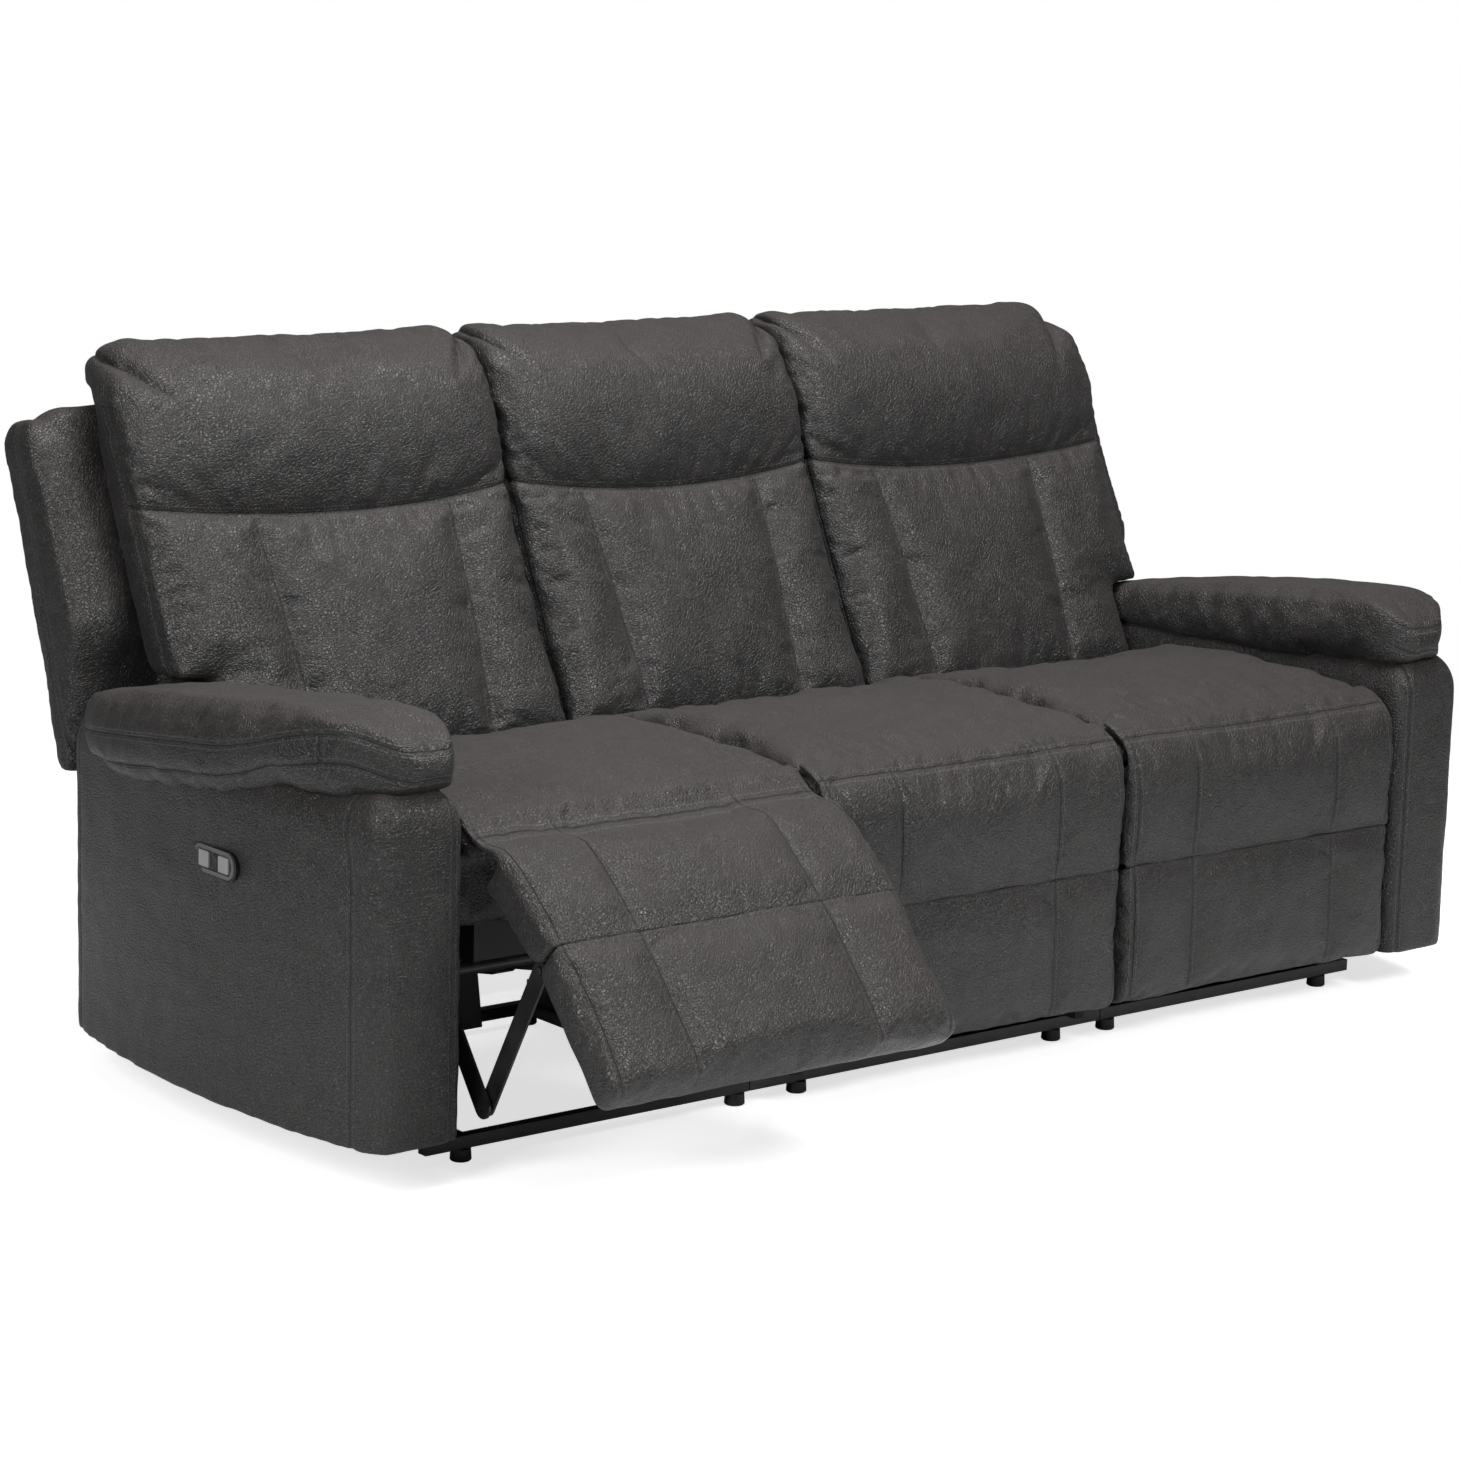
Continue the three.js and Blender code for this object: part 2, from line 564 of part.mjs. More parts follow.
// ---------------------------------------------------------------- origin at the middle of the footprint
sofa.updateMatrixWorld(true);
const footprint = new THREE.Box3().setFromObject(sofa, true);
sofa.position.y = -(footprint.min.y + footprint.max.y) / 2;
sofa.updateMatrixWorld(true);

export default sofa;
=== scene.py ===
# %% [markdown]
# # A three-seat power reclining sofa
# The frame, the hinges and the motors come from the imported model. This file gives the sofa its looks:
# stuffed leather covers, sewn seams, steel finishes, light and a camera. Each step says what the piece is on
# the real sofa, how it could be made in Blender, and why this way was chosen.

# %% Load the frame
import json
import math
import bpy
import bmesh
import numpy as np
from mathutils import Matrix, Vector


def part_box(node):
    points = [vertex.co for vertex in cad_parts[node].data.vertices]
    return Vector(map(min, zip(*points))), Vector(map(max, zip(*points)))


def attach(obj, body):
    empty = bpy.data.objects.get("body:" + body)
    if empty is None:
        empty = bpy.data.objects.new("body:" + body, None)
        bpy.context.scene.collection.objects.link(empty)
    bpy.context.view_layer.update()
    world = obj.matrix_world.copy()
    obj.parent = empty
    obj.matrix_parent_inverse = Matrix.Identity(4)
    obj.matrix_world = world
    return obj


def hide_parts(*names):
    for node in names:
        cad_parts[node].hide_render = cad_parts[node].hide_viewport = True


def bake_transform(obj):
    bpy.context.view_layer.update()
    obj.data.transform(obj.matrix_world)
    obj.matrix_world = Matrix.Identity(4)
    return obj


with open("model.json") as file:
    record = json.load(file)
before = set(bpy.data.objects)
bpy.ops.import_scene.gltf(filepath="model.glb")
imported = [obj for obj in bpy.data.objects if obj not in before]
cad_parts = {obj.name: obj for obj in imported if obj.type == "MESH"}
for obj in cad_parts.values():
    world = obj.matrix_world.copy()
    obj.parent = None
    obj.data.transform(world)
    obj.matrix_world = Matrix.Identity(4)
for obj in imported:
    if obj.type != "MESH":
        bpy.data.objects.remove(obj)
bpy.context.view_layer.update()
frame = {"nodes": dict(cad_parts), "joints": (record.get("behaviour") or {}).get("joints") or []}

# %% [markdown]
# ## Places that everything else is measured from
# A cover must sit exactly on its frame, so no place is typed twice: the front plane, the middle of each seat
# and the hinges are read from the model. Distances behind the front plane are written as `front + depth`.

# %% Read the main places
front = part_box("centre_front_upper_panel")[0].y
seat_low, seat_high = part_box("right_seat_cushion")
pitch = (seat_low.x + seat_high.x) / 2          # from one seat's middle to the next
half_seat = (seat_high.x - seat_low.x) / 2
joints = {joint["name"]: joint for joint in frame["joints"]}
hip = Vector(joints["left_footrest_open"]["pos_m"])
left_opening = math.radians(-joints["left_footrest_open"]["range_deg"][0])
left_fold = math.radians(joints["left_footrest_fold"]["range_deg"][1])
fold_z = (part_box("centre_front_upper_panel")[0].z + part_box("centre_front_lower_panel")[1].z) / 2
RAKE = math.radians(25)
back_foot = Vector((0, front + 0.586, 0.446))
SIDE_GAP = 0.001                                # each cover stays this far inside its seat's width
print("front plane", round(front, 4), "seat pitch", round(pitch, 3), "fold height", round(fold_z, 3))

# %% [markdown]
# ## Small tools for shapes
# Every padded piece begins as its side view pushed along X, the way a foam block is cut. `prism` makes that
# from one face and an extrude, and a bevel rounds the edges that run along the push.

# %% Shape helpers
def link(name, mesh):
    made = bpy.data.objects.new(name, mesh)
    bpy.context.scene.collection.objects.link(made)
    return made


def from_bmesh(name, bm):
    mesh = bpy.data.meshes.new(name)
    bm.to_mesh(mesh)
    bm.free()
    return link(name, mesh)


def prism(bm, outline, x0, x1, edge=0.0, side=0.0):
    """Push a side view of (y, z) points from x0 to x1, with rounded long edges and rounded sides."""
    face = bm.faces.new([bm.verts.new((x0, y, z)) for y, z in outline])
    pushed = bmesh.ops.extrude_face_region(bm, geom=[face])["geom"]
    moved = [part for part in pushed if isinstance(part, bmesh.types.BMVert)]
    bmesh.ops.translate(bm, verts=moved, vec=(x1 - x0, 0, 0))
    verts = set(moved) | set(face.verts)
    if edge:
        long_edges = {e for v in verts for e in v.link_edges
                      if abs(e.verts[0].co.x - e.verts[1].co.x) > 1e-4}
        rounded = bmesh.ops.bevel(bm, geom=list(long_edges), offset=edge, segments=4, profile=0.5,
                                  affect="EDGES", material=-1, clamp_overlap=True)
        verts = {v for f in rounded["faces"] for v in f.verts} | {v for v in verts if v.is_valid}
    if side:
        rims = {e for v in verts for e in v.link_edges
                if abs(e.verts[0].co.x - e.verts[1].co.x) < 1e-5
                and any(abs(f.normal.x) > 0.9 for f in e.link_faces) and len(e.link_faces) == 2}
        bmesh.ops.bevel(bm, geom=list(rims), offset=side, segments=3, profile=0.5,
                        affect="EDGES", material=-1, clamp_overlap=True)
    bmesh.ops.recalc_face_normals(bm, faces=bm.faces[:])
    return bm


def seat_prism(outline, **rounding):
    """A side view of (depth behind the front plane, height) pushed across the right seat."""
    return prism(bmesh.new(), [(front + d, z) for d, z in outline], pitch - half_seat + SIDE_GAP,
                 pitch + half_seat - SIDE_GAP, **rounding)


def evaluated_mesh(obj):
    graph = bpy.context.evaluated_depsgraph_get()
    return bpy.data.meshes.new_from_object(obj.evaluated_get(graph))


def apply_modifiers(obj):
    mesh = evaluated_mesh(obj)
    obj.modifiers.clear()
    old, obj.data = obj.data, mesh
    bpy.data.meshes.remove(old)
    return obj


def points_of(mesh):
    co = np.empty(len(mesh.vertices) * 3, np.float32)
    mesh.vertices.foreach_get("co", co)
    return co.reshape(-1, 3).astype(float)


def set_points(mesh, co):
    mesh.vertices.foreach_set("co", np.ascontiguousarray(co, np.float32).ravel())
    mesh.update()


def normals_of(mesh):
    out = np.empty(len(mesh.vertices) * 3, np.float32)
    mesh.vertices.foreach_get("normal", out)
    return out.reshape(-1, 3).astype(float)


def ramp(value, low, high):
    """0 below low, 1 above high, smooth between."""
    t = np.clip((value - low) / (high - low), 0, 1)
    return t * t * (3 - 2 * t)


def bell(value, width):
    return np.exp(-(value / width) ** 2)


def ripple(co, wavelength, seed, waves=14):
    """A soft random field in -1..1 made of plane waves, the same each run."""
    random = np.random.default_rng(seed)
    direction = random.normal(size=(waves, 3))
    direction /= np.linalg.norm(direction, axis=1)[:, None]
    count = 2 * math.pi / (wavelength * random.uniform(0.7, 1.5, waves))
    start = random.uniform(0, 2 * math.pi, waves)
    return np.sin(co @ (direction * count[:, None]).T + start).sum(axis=1) / math.sqrt(waves)


print("shape helpers ready")

# %% [markdown]
# ## From foam block to stuffed cover
# A cover is one even skin of small squares, so that it can wrinkle anywhere. The Remesh modifier makes that
# skin from a rough block, and a few smoothing passes take the corners off. The cloth solver then blows the
# skin up like a stuffed cover, while the sewn lines and the sides that rest on something stay pinned.
# Sculpting would give one good cover; a simulation gives every cover its own believable tension.

# %% Skin and stuffing helpers
covers = {}


def skin(name, bm, voxel, soften=6):
    obj = from_bmesh(name, bm)
    remesh = obj.modifiers.new("skin", "REMESH")
    remesh.mode = "VOXEL"
    remesh.voxel_size = voxel
    apply_modifiers(obj)
    smooth = bmesh.new()
    smooth.from_mesh(obj.data)
    for _ in range(soften):
        bmesh.ops.smooth_vert(smooth, verts=smooth.verts[:], factor=0.5,
                              use_axis_x=True, use_axis_y=True, use_axis_z=True)
    smooth.to_mesh(obj.data)
    smooth.free()
    return obj


def keep_rest(obj, rest):
    """Store where each point lies before the stuffing, to place the seams by."""
    attribute = obj.data.attributes.new("rest", "FLOAT_VECTOR", "POINT")
    attribute.data.foreach_set("vector", rest.astype(np.float32).ravel())


def stuff_later(obj, pins, pressure=4.0, cap=0.025, slack=-0.02):
    """Note how a cover is to be stuffed. pins is 1 where the cover is sewn or rests on something."""
    rest = points_of(obj.data)
    covers[obj.name] = (obj, rest, cap)
    keep_rest(obj, rest)
    group = obj.vertex_groups.new(name="pins")
    for level in (0.35, 0.7, 1.0):
        chosen = np.nonzero(np.abs(np.round(np.clip(pins, 0, 1) / 0.35) * 0.35 - level) < 0.18)[0]
        group.add([int(i) for i in chosen], level, "REPLACE")
    cloth = obj.modifiers.new("stuffing", "CLOTH")
    settings = cloth.settings
    settings.quality = 4
    settings.mass = 0.4
    settings.tension_stiffness = 12
    settings.compression_stiffness = 12
    settings.shear_stiffness = 6
    settings.bending_stiffness = 0.8
    settings.air_damping = 3
    settings.use_pressure = True
    settings.uniform_pressure_force = pressure
    settings.shrink_min = slack
    settings.vertex_group_mass = "pins"
    settings.pin_stiffness = 1.0
    settings.effector_weights.gravity = 0
    cloth.point_cache.frame_start = 1
    cloth.point_cache.frame_end = 20
    return obj


def stuff_all(frames=20):
    """Step the cloth of every noted cover together, then keep the stuffed meshes."""
    for number in range(1, frames + 1):
        bpy.context.scene.frame_set(number)
    for obj, rest, cap in covers.values():
        mesh = evaluated_mesh(obj)
        obj.modifiers.clear()
        obj.vertex_groups.clear()
        obj.data = mesh
        move = points_of(mesh) - rest
        length = np.linalg.norm(move, axis=1)
        limit = cap * np.tanh(length / cap) / np.maximum(length, 1e-9)
        set_points(mesh, rest + move * limit[:, None])
        print(obj.name, "stuffed, largest move", round(float(length.max()) * 1000, 1), "mm")
    bpy.context.scene.frame_set(1)


def refine(obj, levels=1):
    finer = obj.modifiers.new("refine", "SUBSURF")
    finer.levels = levels
    finer.render_levels = levels
    apply_modifiers(obj)
    return obj


def rest_of(mesh):
    out = np.empty(len(mesh.vertices) * 3, np.float32)
    mesh.attributes["rest"].data.foreach_get("vector", out)
    return out.reshape(-1, 3).astype(float)


print("stuffing helpers ready")

# %% [markdown]
# ## Sewn lines
# A seam on leather is three things: a valley where both panels turn in, small puckers beside it, and the
# thread. The valley and the puckers are moved into the mesh here. The thread is far finer than the mesh, so
# each cover also stores how far every point is from its seams, and the leather material draws the thread
# from that. A seam is written as a pair: signed distance across it, and distance along it.

# %% Sew seams into a cover
def sew(obj, seams, seed, valley=(0.0045, 0.0045, 0.0045), pucker=0.0006, wrinkle=0.0008):
    """seams is up to three (across, along, on) arrays in metres; valley is how deep each of them sinks."""
    mesh = obj.data
    co, normal, rest = points_of(mesh), normals_of(mesh), rest_of(mesh)
    push = wrinkle * ripple(rest, 0.11, seed) + 0.5 * wrinkle * ripple(rest, 0.045, seed + 1)
    across = np.full((len(co), 3), 1.0)
    along = np.zeros((len(co), 3))
    on = np.zeros((len(co), 3))
    for i, (a, s, mask) in enumerate(seams):
        across[:, i], along[:, i], on[:, i] = a, s, mask
        push -= valley[i] * mask * (0.75 * bell(a, 0.0055) + 0.25 * bell(a, 0.016))
        gather = ripple(np.stack([s, a * 0.25, s * 0], axis=1), 0.028, seed + 7 + i)
        push += pucker * min(valley[i] / 0.0045, 1) * mask * gather * bell(np.abs(a) - 0.014, 0.013)
    set_points(mesh, co + normal * push[:, None])
    for name, values in (("across", across), ("along", along), ("on", on)):
        attribute = mesh.attributes.new(name, "FLOAT_VECTOR", "POINT")
        attribute.data.foreach_set("vector", values.astype(np.float32).ravel())
    mesh.attributes.remove(mesh.attributes["rest"])
    for polygon in mesh.polygons:
        polygon.use_smooth = True
    return obj


def copy_of(obj, name, matrix):
    """A copy with its place in its mesh; a mirrored copy has its faces turned out again."""
    mesh = obj.data.copy()
    mesh.transform(matrix)
    if matrix.determinant() < 0:
        mesh.flip_normals()
    return link(name, mesh)


MIRROR = Matrix.Scale(-1, 4, (1, 0, 0))


def mirror(obj):
    obj.data.transform(MIRROR)
    obj.data.flip_normals()


def along_x(distance):
    return Matrix.Translation((distance, 0, 0))


print("sewing helpers ready")

# %% [markdown]
# ## Seat cushions
# Three equal foam blocks. The front lip hangs over the upper front pad, so the pad can swing out under it.
# One cover is stuffed, and its copies get their own wrinkles.

# %% Cut the seat cushion
def seat_block():
    top = seat_high.z
    return seat_prism([
        (0.070, seat_low.z + 0.002), (0.070, 0.434), (0.020, 0.434), (0.021, 0.448), (0.032, 0.467),
        (0.052, 0.482), (0.085, 0.492), (0.16, top + 0.001), (0.32, top + 0.006), (0.52, top - 0.004),
        (0.568, top - 0.024), (0.570, seat_low.z + 0.002)], edge=0.010, side=0.026)


seat = skin("right_seat_cover", seat_block(), 0.008, soften=5)
rest = points_of(seat.data)
seat_pins = np.maximum.reduce([
    1 - ramp(rest[:, 2], 0.430, 0.450), ramp(rest[:, 1], front + 0.55, front + 0.565),
    1 - ramp(rest[:, 1], front + 0.035, front + 0.070)])
stuff_later(seat, seat_pins, pressure=3.5, cap=0.024, slack=-0.018)
print("seat cushion skin:", len(rest), "points")

# %% [markdown]
# ## Front pads
# Below each seat hang two pads: the upper one turns on the seat's front edge, and the lower one on the fold
# between them. Two upright seams divide each into three, and the upper pad's leather wraps over the nose of
# the seat to the seam at the top.

# %% Cut the front pads
def upper_pad_block():
    return seat_prism([
        (0.000, fold_z - 0.002), (-0.003, 0.34), (-0.004, 0.40), (0.000, 0.434), (0.009, 0.456),
        (0.024, 0.475), (0.048, 0.489), (0.072, 0.496), (0.074, 0.488), (0.050, 0.480), (0.030, 0.466),
        (0.018, 0.448), (0.014, 0.432), (0.050, 0.428), (0.058, 0.420), (0.058, 0.302),
        (0.048, fold_z + 0.006)], side=0.006)


def lower_pad_block():
    return seat_prism([
        (0.000, fold_z + 0.002), (-0.002, 0.22), (-0.003, 0.12), (-0.001, 0.080), (0.010, 0.064),
        (0.048, 0.063), (0.057, 0.074), (0.057, 0.262), (0.048, fold_z - 0.007)], side=0.009)


PAD_SEAM = 0.153                                # from a seat's middle to each upright seam


def pad_seams(rest, low, high):
    """The two upright seams of a front pad, and the piped seam close to its side edges."""
    u = rest[:, 0] - pitch
    facing = 1 - ramp(rest[:, 1] - front, 0.030, 0.042)
    upright = np.abs(u) - PAD_SEAM
    edge = np.abs(u) - (half_seat - 0.016)
    return [(upright, rest[:, 2], facing * ramp(rest[:, 2], low, low + 0.01)),
            (edge, rest[:, 2], facing * ramp(rest[:, 2], low, low + 0.01))]


def round_upright_edges(obj, radius):
    """Draw the upright front edges of a pad back onto an arc."""
    co = points_of(obj.data)
    u, depth = co[:, 0] - pitch, co[:, 1] - front
    a = np.clip((np.abs(u) - (half_seat - 0.001 - radius)) / radius, 0, 1)
    b = np.clip(1 - (depth + 0.004) / radius, 0, 1)
    co[:, 1] += radius * b * (1 - np.sqrt(np.clip(1 - 0.85 * a * a, 0, 1)))
    set_points(obj.data, co)
    return co


upper = skin("right_upper_cover", upper_pad_block(), 0.0055, soften=3)
rest = round_upright_edges(upper, 0.016)
near_seam = [0.3 * bell(a, 0.005) * m for a, _, m in pad_seams(rest, fold_z, 0.5)[:1]]
upper_pins = np.maximum.reduce(near_seam + [
    ramp(rest[:, 1] - front, 0.045, 0.060), 1 - ramp(rest[:, 2], fold_z + 0.004, fold_z + 0.014),
    ramp(rest[:, 1] - front, 0.008, 0.012) * (1 - ramp(rest[:, 2], 0.44, 0.455))])
stuff_later(upper, upper_pins, pressure=5.0, cap=0.012, slack=-0.012)

lower = skin("right_lower_cover", lower_pad_block(), 0.006, soften=3)
rest = round_upright_edges(lower, 0.016)
near_seam = [0.3 * bell(a, 0.005) * m for a, _, m in pad_seams(rest, 0.06, fold_z)[:1]]
lower_pins = np.maximum.reduce(near_seam + [
    ramp(rest[:, 1] - front, 0.030, 0.042), ramp(rest[:, 2], fold_z - 0.014, fold_z - 0.004)])
stuff_later(lower, lower_pins, pressure=5.0, cap=0.013, slack=-0.012)
print("front pad skins:", len(upper.data.vertices), "and", len(lower.data.vertices), "points")

# %% [markdown]
# ## Back cushions
# Each back leans 25 degrees. Across it runs the headrest seam, which sags in the middle, and below it two
# seams that come closer together towards the seat. The pillow at the top rolls over the wooden back.

# %% Cut the back cushions
rear_base = front + 0.835
SHELL_BOTTOM, SHELL_SLOPE = 0.425, 0.34


def rear_y(z):
    """Where the outside back stands at a height."""
    return rear_base + (z - SHELL_BOTTOM) * SHELL_SLOPE


def face_y(z, depth=0.0):
    """Where the leaning face stands at a height, or a plane a depth behind it."""
    return back_foot.y + (z - back_foot.z) * math.tan(RAKE) + depth / math.cos(RAKE)


def back_block(x0, x1, outer=None, step=None):
    """outer and step add the part of an end cushion that is wider above the arm."""
    bm = bmesh.new()
    top, shell_top = 1.047, 0.962
    rear = rear_y(shell_top)

    def outline(bottom):
        return [(face_y(bottom) + 0.002, bottom + 0.004), (face_y(0.70) + 0.004, 0.70),
                (face_y(0.80) + 0.010, 0.80), (face_y(0.92) - 0.004, 0.92), (face_y(1.0), 0.995),
                (face_y(top) + 0.035, top), (rear - 0.060, top - 0.008), (rear - 0.036, top - 0.030),
                (rear - 0.034, shell_top + 0.003), (face_y(shell_top, 0.094), shell_top + 0.003),
                (face_y(bottom, 0.094), bottom + 0.004)]
    prism(bm, outline(back_foot.z), x0, x1, edge=0.016, side=0.020)
    if outer is not None:
        prism(bm, outline(step), x1 - 0.06, outer, edge=0.016, side=0.020)
    return bm


def round_top_corners(co, left, right, radius_left, radius_right, top):
    """Square top corners become round: each point near a corner is drawn onto the arc."""
    for edge, sign, radius in ((left, -1, radius_left), (right, 1, radius_right)):
        a = np.clip((co[:, 0] * sign - (edge * sign - radius)) / radius, 0, 1)
        b = np.clip((co[:, 2] - (top - radius)) / radius, 0, 1)
        length = np.hypot(a, b)
        factor = np.where(length > 1e-6, np.maximum(a, b) / np.maximum(length, 1e-6), 1)
        inside = (a > 0) & (b > 0)
        co[:, 0] = np.where(inside, sign * (edge * sign - radius + a * factor * radius), co[:, 0])
        co[:, 2] = np.where(inside, top - radius + b * factor * radius, co[:, 2])
    return co


HEAD_SEAM = 0.789


def back_depth(rest):
    """How far a point lies behind the leaning face."""
    return (rest[:, 1] - back_foot.y - (rest[:, 2] - back_foot.z) * math.tan(RAKE)) * math.cos(RAKE)


def back_seams(rest, middle, left, right):
    u = rest[:, 0] - middle
    depth = back_depth(rest)
    facing = 1 - ramp(depth, 0.034, 0.046)
    reach = np.where(u < 0, (u / (left - middle)) ** 2, (u / (right - middle)) ** 2)
    head = rest[:, 2] - (HEAD_SEAM + 0.024 * reach)
    upright = np.abs(u) - (0.150 + 0.022 * (rest[:, 2] - 0.446) / 0.345)
    from_side = np.minimum(rest[:, 0] - left, right - rest[:, 0])
    on_side = 1 - ramp(from_side, 0.020, 0.030)
    return [(head, rest[:, 0], facing * ramp(from_side, -0.01, 0.004)),
            (upright, rest[:, 2], facing * (1 - ramp(head, -0.012, -0.002))),
            (depth - 0.030, rest[:, 2], on_side * (1 - ramp(rest[:, 2], 0.97, 1.0)))], depth


shell_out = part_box("right_back_cushion")[1].x
back_edges = {"centre": (-half_seat, half_seat), "right": (pitch - half_seat, shell_out)}
backs = {}
for name, middle in (("centre", 0.0), ("right", pitch)):
    left, right = back_edges[name]
    if name == "centre":
        block = back_block(left + 0.002, right - 0.002)
    else:
        block = back_block(left + 0.002, pitch + half_seat, outer=right - 0.004, step=0.572)
    back = skin(f"{name}_back_cover", block, 0.0078, soften=9)
    co = points_of(back.data)
    co = round_top_corners(co, left, right, 0.045, 0.045 if name == "centre" else 0.085, co[:, 2].max())
    for edge, sign, radius in ((left, -1, 0.05), (right, 1, 0.05 if name == "centre" else 0.15)):
        reach = np.clip((co[:, 0] * sign - (edge * sign - radius)) / radius, 0, 1)
        behind = np.clip((back_depth(co) - 0.030) / 0.160, 0, 1) * ramp(co[:, 2], 0.86, 0.94)
        co[:, 0] -= sign * radius * reach * (1 - np.sqrt(1 - np.minimum(behind, 0.97) ** 2))
    set_points(back.data, co)
    seams, depth = back_seams(co, middle, left, right)
    held = (1.0, 0.25, 0.6)
    pins = np.maximum.reduce([hold * bell(a, 0.0065) * m for hold, (a, _, m) in zip(held, seams)] + [
        ramp(depth, 0.062, 0.080) * (1 - ramp(co[:, 2], 0.96, 0.985)), 1 - ramp(co[:, 2], 0.455, 0.475),
        0.35 * ramp(co[:, 1], co[:, 1].max() - 0.03, co[:, 1].max() - 0.012)])
    stuff_later(back, pins, pressure=4.0, cap=0.024, slack=-0.018)
    backs[name] = back
    print(name, "back skin:", len(co), "points")

# %% [markdown]
# ## Arm pads
# A loaf of foam lies along each arm and hangs over its outer side. A band runs round it between two long
# seams, with one short seam across the band near the front.

# %% Cut the arm pad
arm_low, arm_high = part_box("right_arm")
pad_low, pad_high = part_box("right_arm_pad")
arm_depth = arm_high.y - arm_low.y
ARM_OUTER, ARM_BOW, REAR_FLARE = 1.035, 0.048, 0.016


def bow(y):
    """How far the outer arm panel stands out at a depth, beyond its front end."""
    t = np.clip((y - arm_low.y) / arm_depth, 0, 1)
    return 4 * ARM_BOW * t * (1 - t) + REAR_FLARE * t * t


def pad_top(y):
    """Height of the pad's crown along the arm: highest near its nose."""
    d = y - front
    behind = np.maximum(d - 0.08, 0)
    return 0.634 - 0.083 * behind - 0.045 * behind ** 2 - 0.020 * (1 - ramp(d, -0.01, 0.07))


def arm_pad_block():
    bm = bmesh.new()
    loaf = [(0.775, 0.485), (0.762, 0.530), (0.72, 0.557), (0.60, 0.576), (0.50, 0.590), (0.40, 0.601),
            (0.30, 0.612), (0.20, 0.621), (0.12, 0.629), (0.06, 0.625), (0.022, 0.608), (0.003, 0.586),
            (-0.003, 0.566), (0.005, 0.544), (0.040, 0.534), (0.12, 0.524), (0.30, 0.510), (0.74, 0.508)]
    outer = pad_high.x - 0.006
    prism(bm, [(front + d, z) for d, z in loaf], pad_low.x + 0.003, outer, edge=0.008, side=0.040)
    apron = [(0.772, 0.490), (0.760, 0.525), (0.10, 0.575), (0.06, 0.560), (0.10, 0.548), (0.20, 0.517),
             (0.30, 0.489), (0.40, 0.477), (0.50, 0.468), (0.60, 0.467), (0.70, 0.474)]
    prism(bm, [(front + d, z) for d, z in apron], ARM_OUTER, outer, edge=0.006, side=0.014)
    return bm


arm_pad = skin("right_arm_pad_cover", arm_pad_block(), 0.0068, soften=12)
co = points_of(arm_pad.data)
widest = pad_high.x - pad_low.x
along_arm = co[:, 1] - front


def quarter_round(distance, length):
    """0 at the tip of a rounded end and 1 once a length behind it."""
    t = 1 - np.clip(distance / length, 0.03, 1)
    return np.sqrt(1 - t * t)


PAD_TIP = 0.945
tail = quarter_round(0.790 - along_arm, 0.15)
outer_side = ARM_OUTER + 0.010 + bow(co[:, 1]) - 0.045 * (1 - tail)
inner_side = pad_low.x + 0.030 * (1 - tail)
outer_side = PAD_TIP + (outer_side - PAD_TIP) * quarter_round(along_arm + 0.006, 0.150)
inner_side = PAD_TIP + (inner_side - PAD_TIP) * quarter_round(along_arm + 0.006, 0.085)
co[:, 0] = inner_side + (co[:, 0] - pad_low.x) * (outer_side - inner_side) / widest
set_points(arm_pad.data, co)


def arm_pad_seams(rest):
    """Upper and lower seam of the band, and the short seam across it."""
    drop = pad_top(rest[:, 1]) - rest[:, 2]
    side = np.clip(ramp(rest[:, 0], 0.985, 1.005) + 1 - ramp(rest[:, 1], front + 0.020, front + 0.045), 0, 1)
    behind_nose = ramp(rest[:, 1] - front, 0.08, 0.32)
    top_seam = drop - 0.024 - 0.030 * behind_nose
    low_seam = drop - 0.062 - 0.034 * behind_nose
    cross = rest[:, 1] - (front + 0.105)
    between = ramp(top_seam, 0.0, 0.003) * (1 - ramp(low_seam, -0.003, 0.0))
    return [(top_seam, rest[:, 1], side), (low_seam, rest[:, 1], side), (cross, rest[:, 2], side * between)]


seams = arm_pad_seams(co)
arm_pins = np.maximum.reduce([0.15 * bell(a, 0.007) * m for a, _, m in seams] + [
    (1 - ramp(co[:, 2], 0.505, 0.522)) * (1 - ramp(co[:, 0], 1.0, 1.02)),
    1 - ramp(co[:, 2], pad_low.z + 0.006, pad_low.z + 0.02)])
stuff_later(arm_pad, arm_pins, pressure=4.0, cap=0.010, slack=-0.010)
print("arm pad skin:", len(co), "points")

# %% [markdown]
# ## Back shells
# Behind each back cushion stands the wooden back in its own padded leather. At the ends it is wider than the
# seat, and its wing shows behind the arm. Its lower part is a curved skirt that closes the rear as it leans.

# %% Cut the back shells
recline = Vector(joints["right_back_recline"]["pos_m"])
WING_FRONT = 0.799               # the wing starts just behind the arm


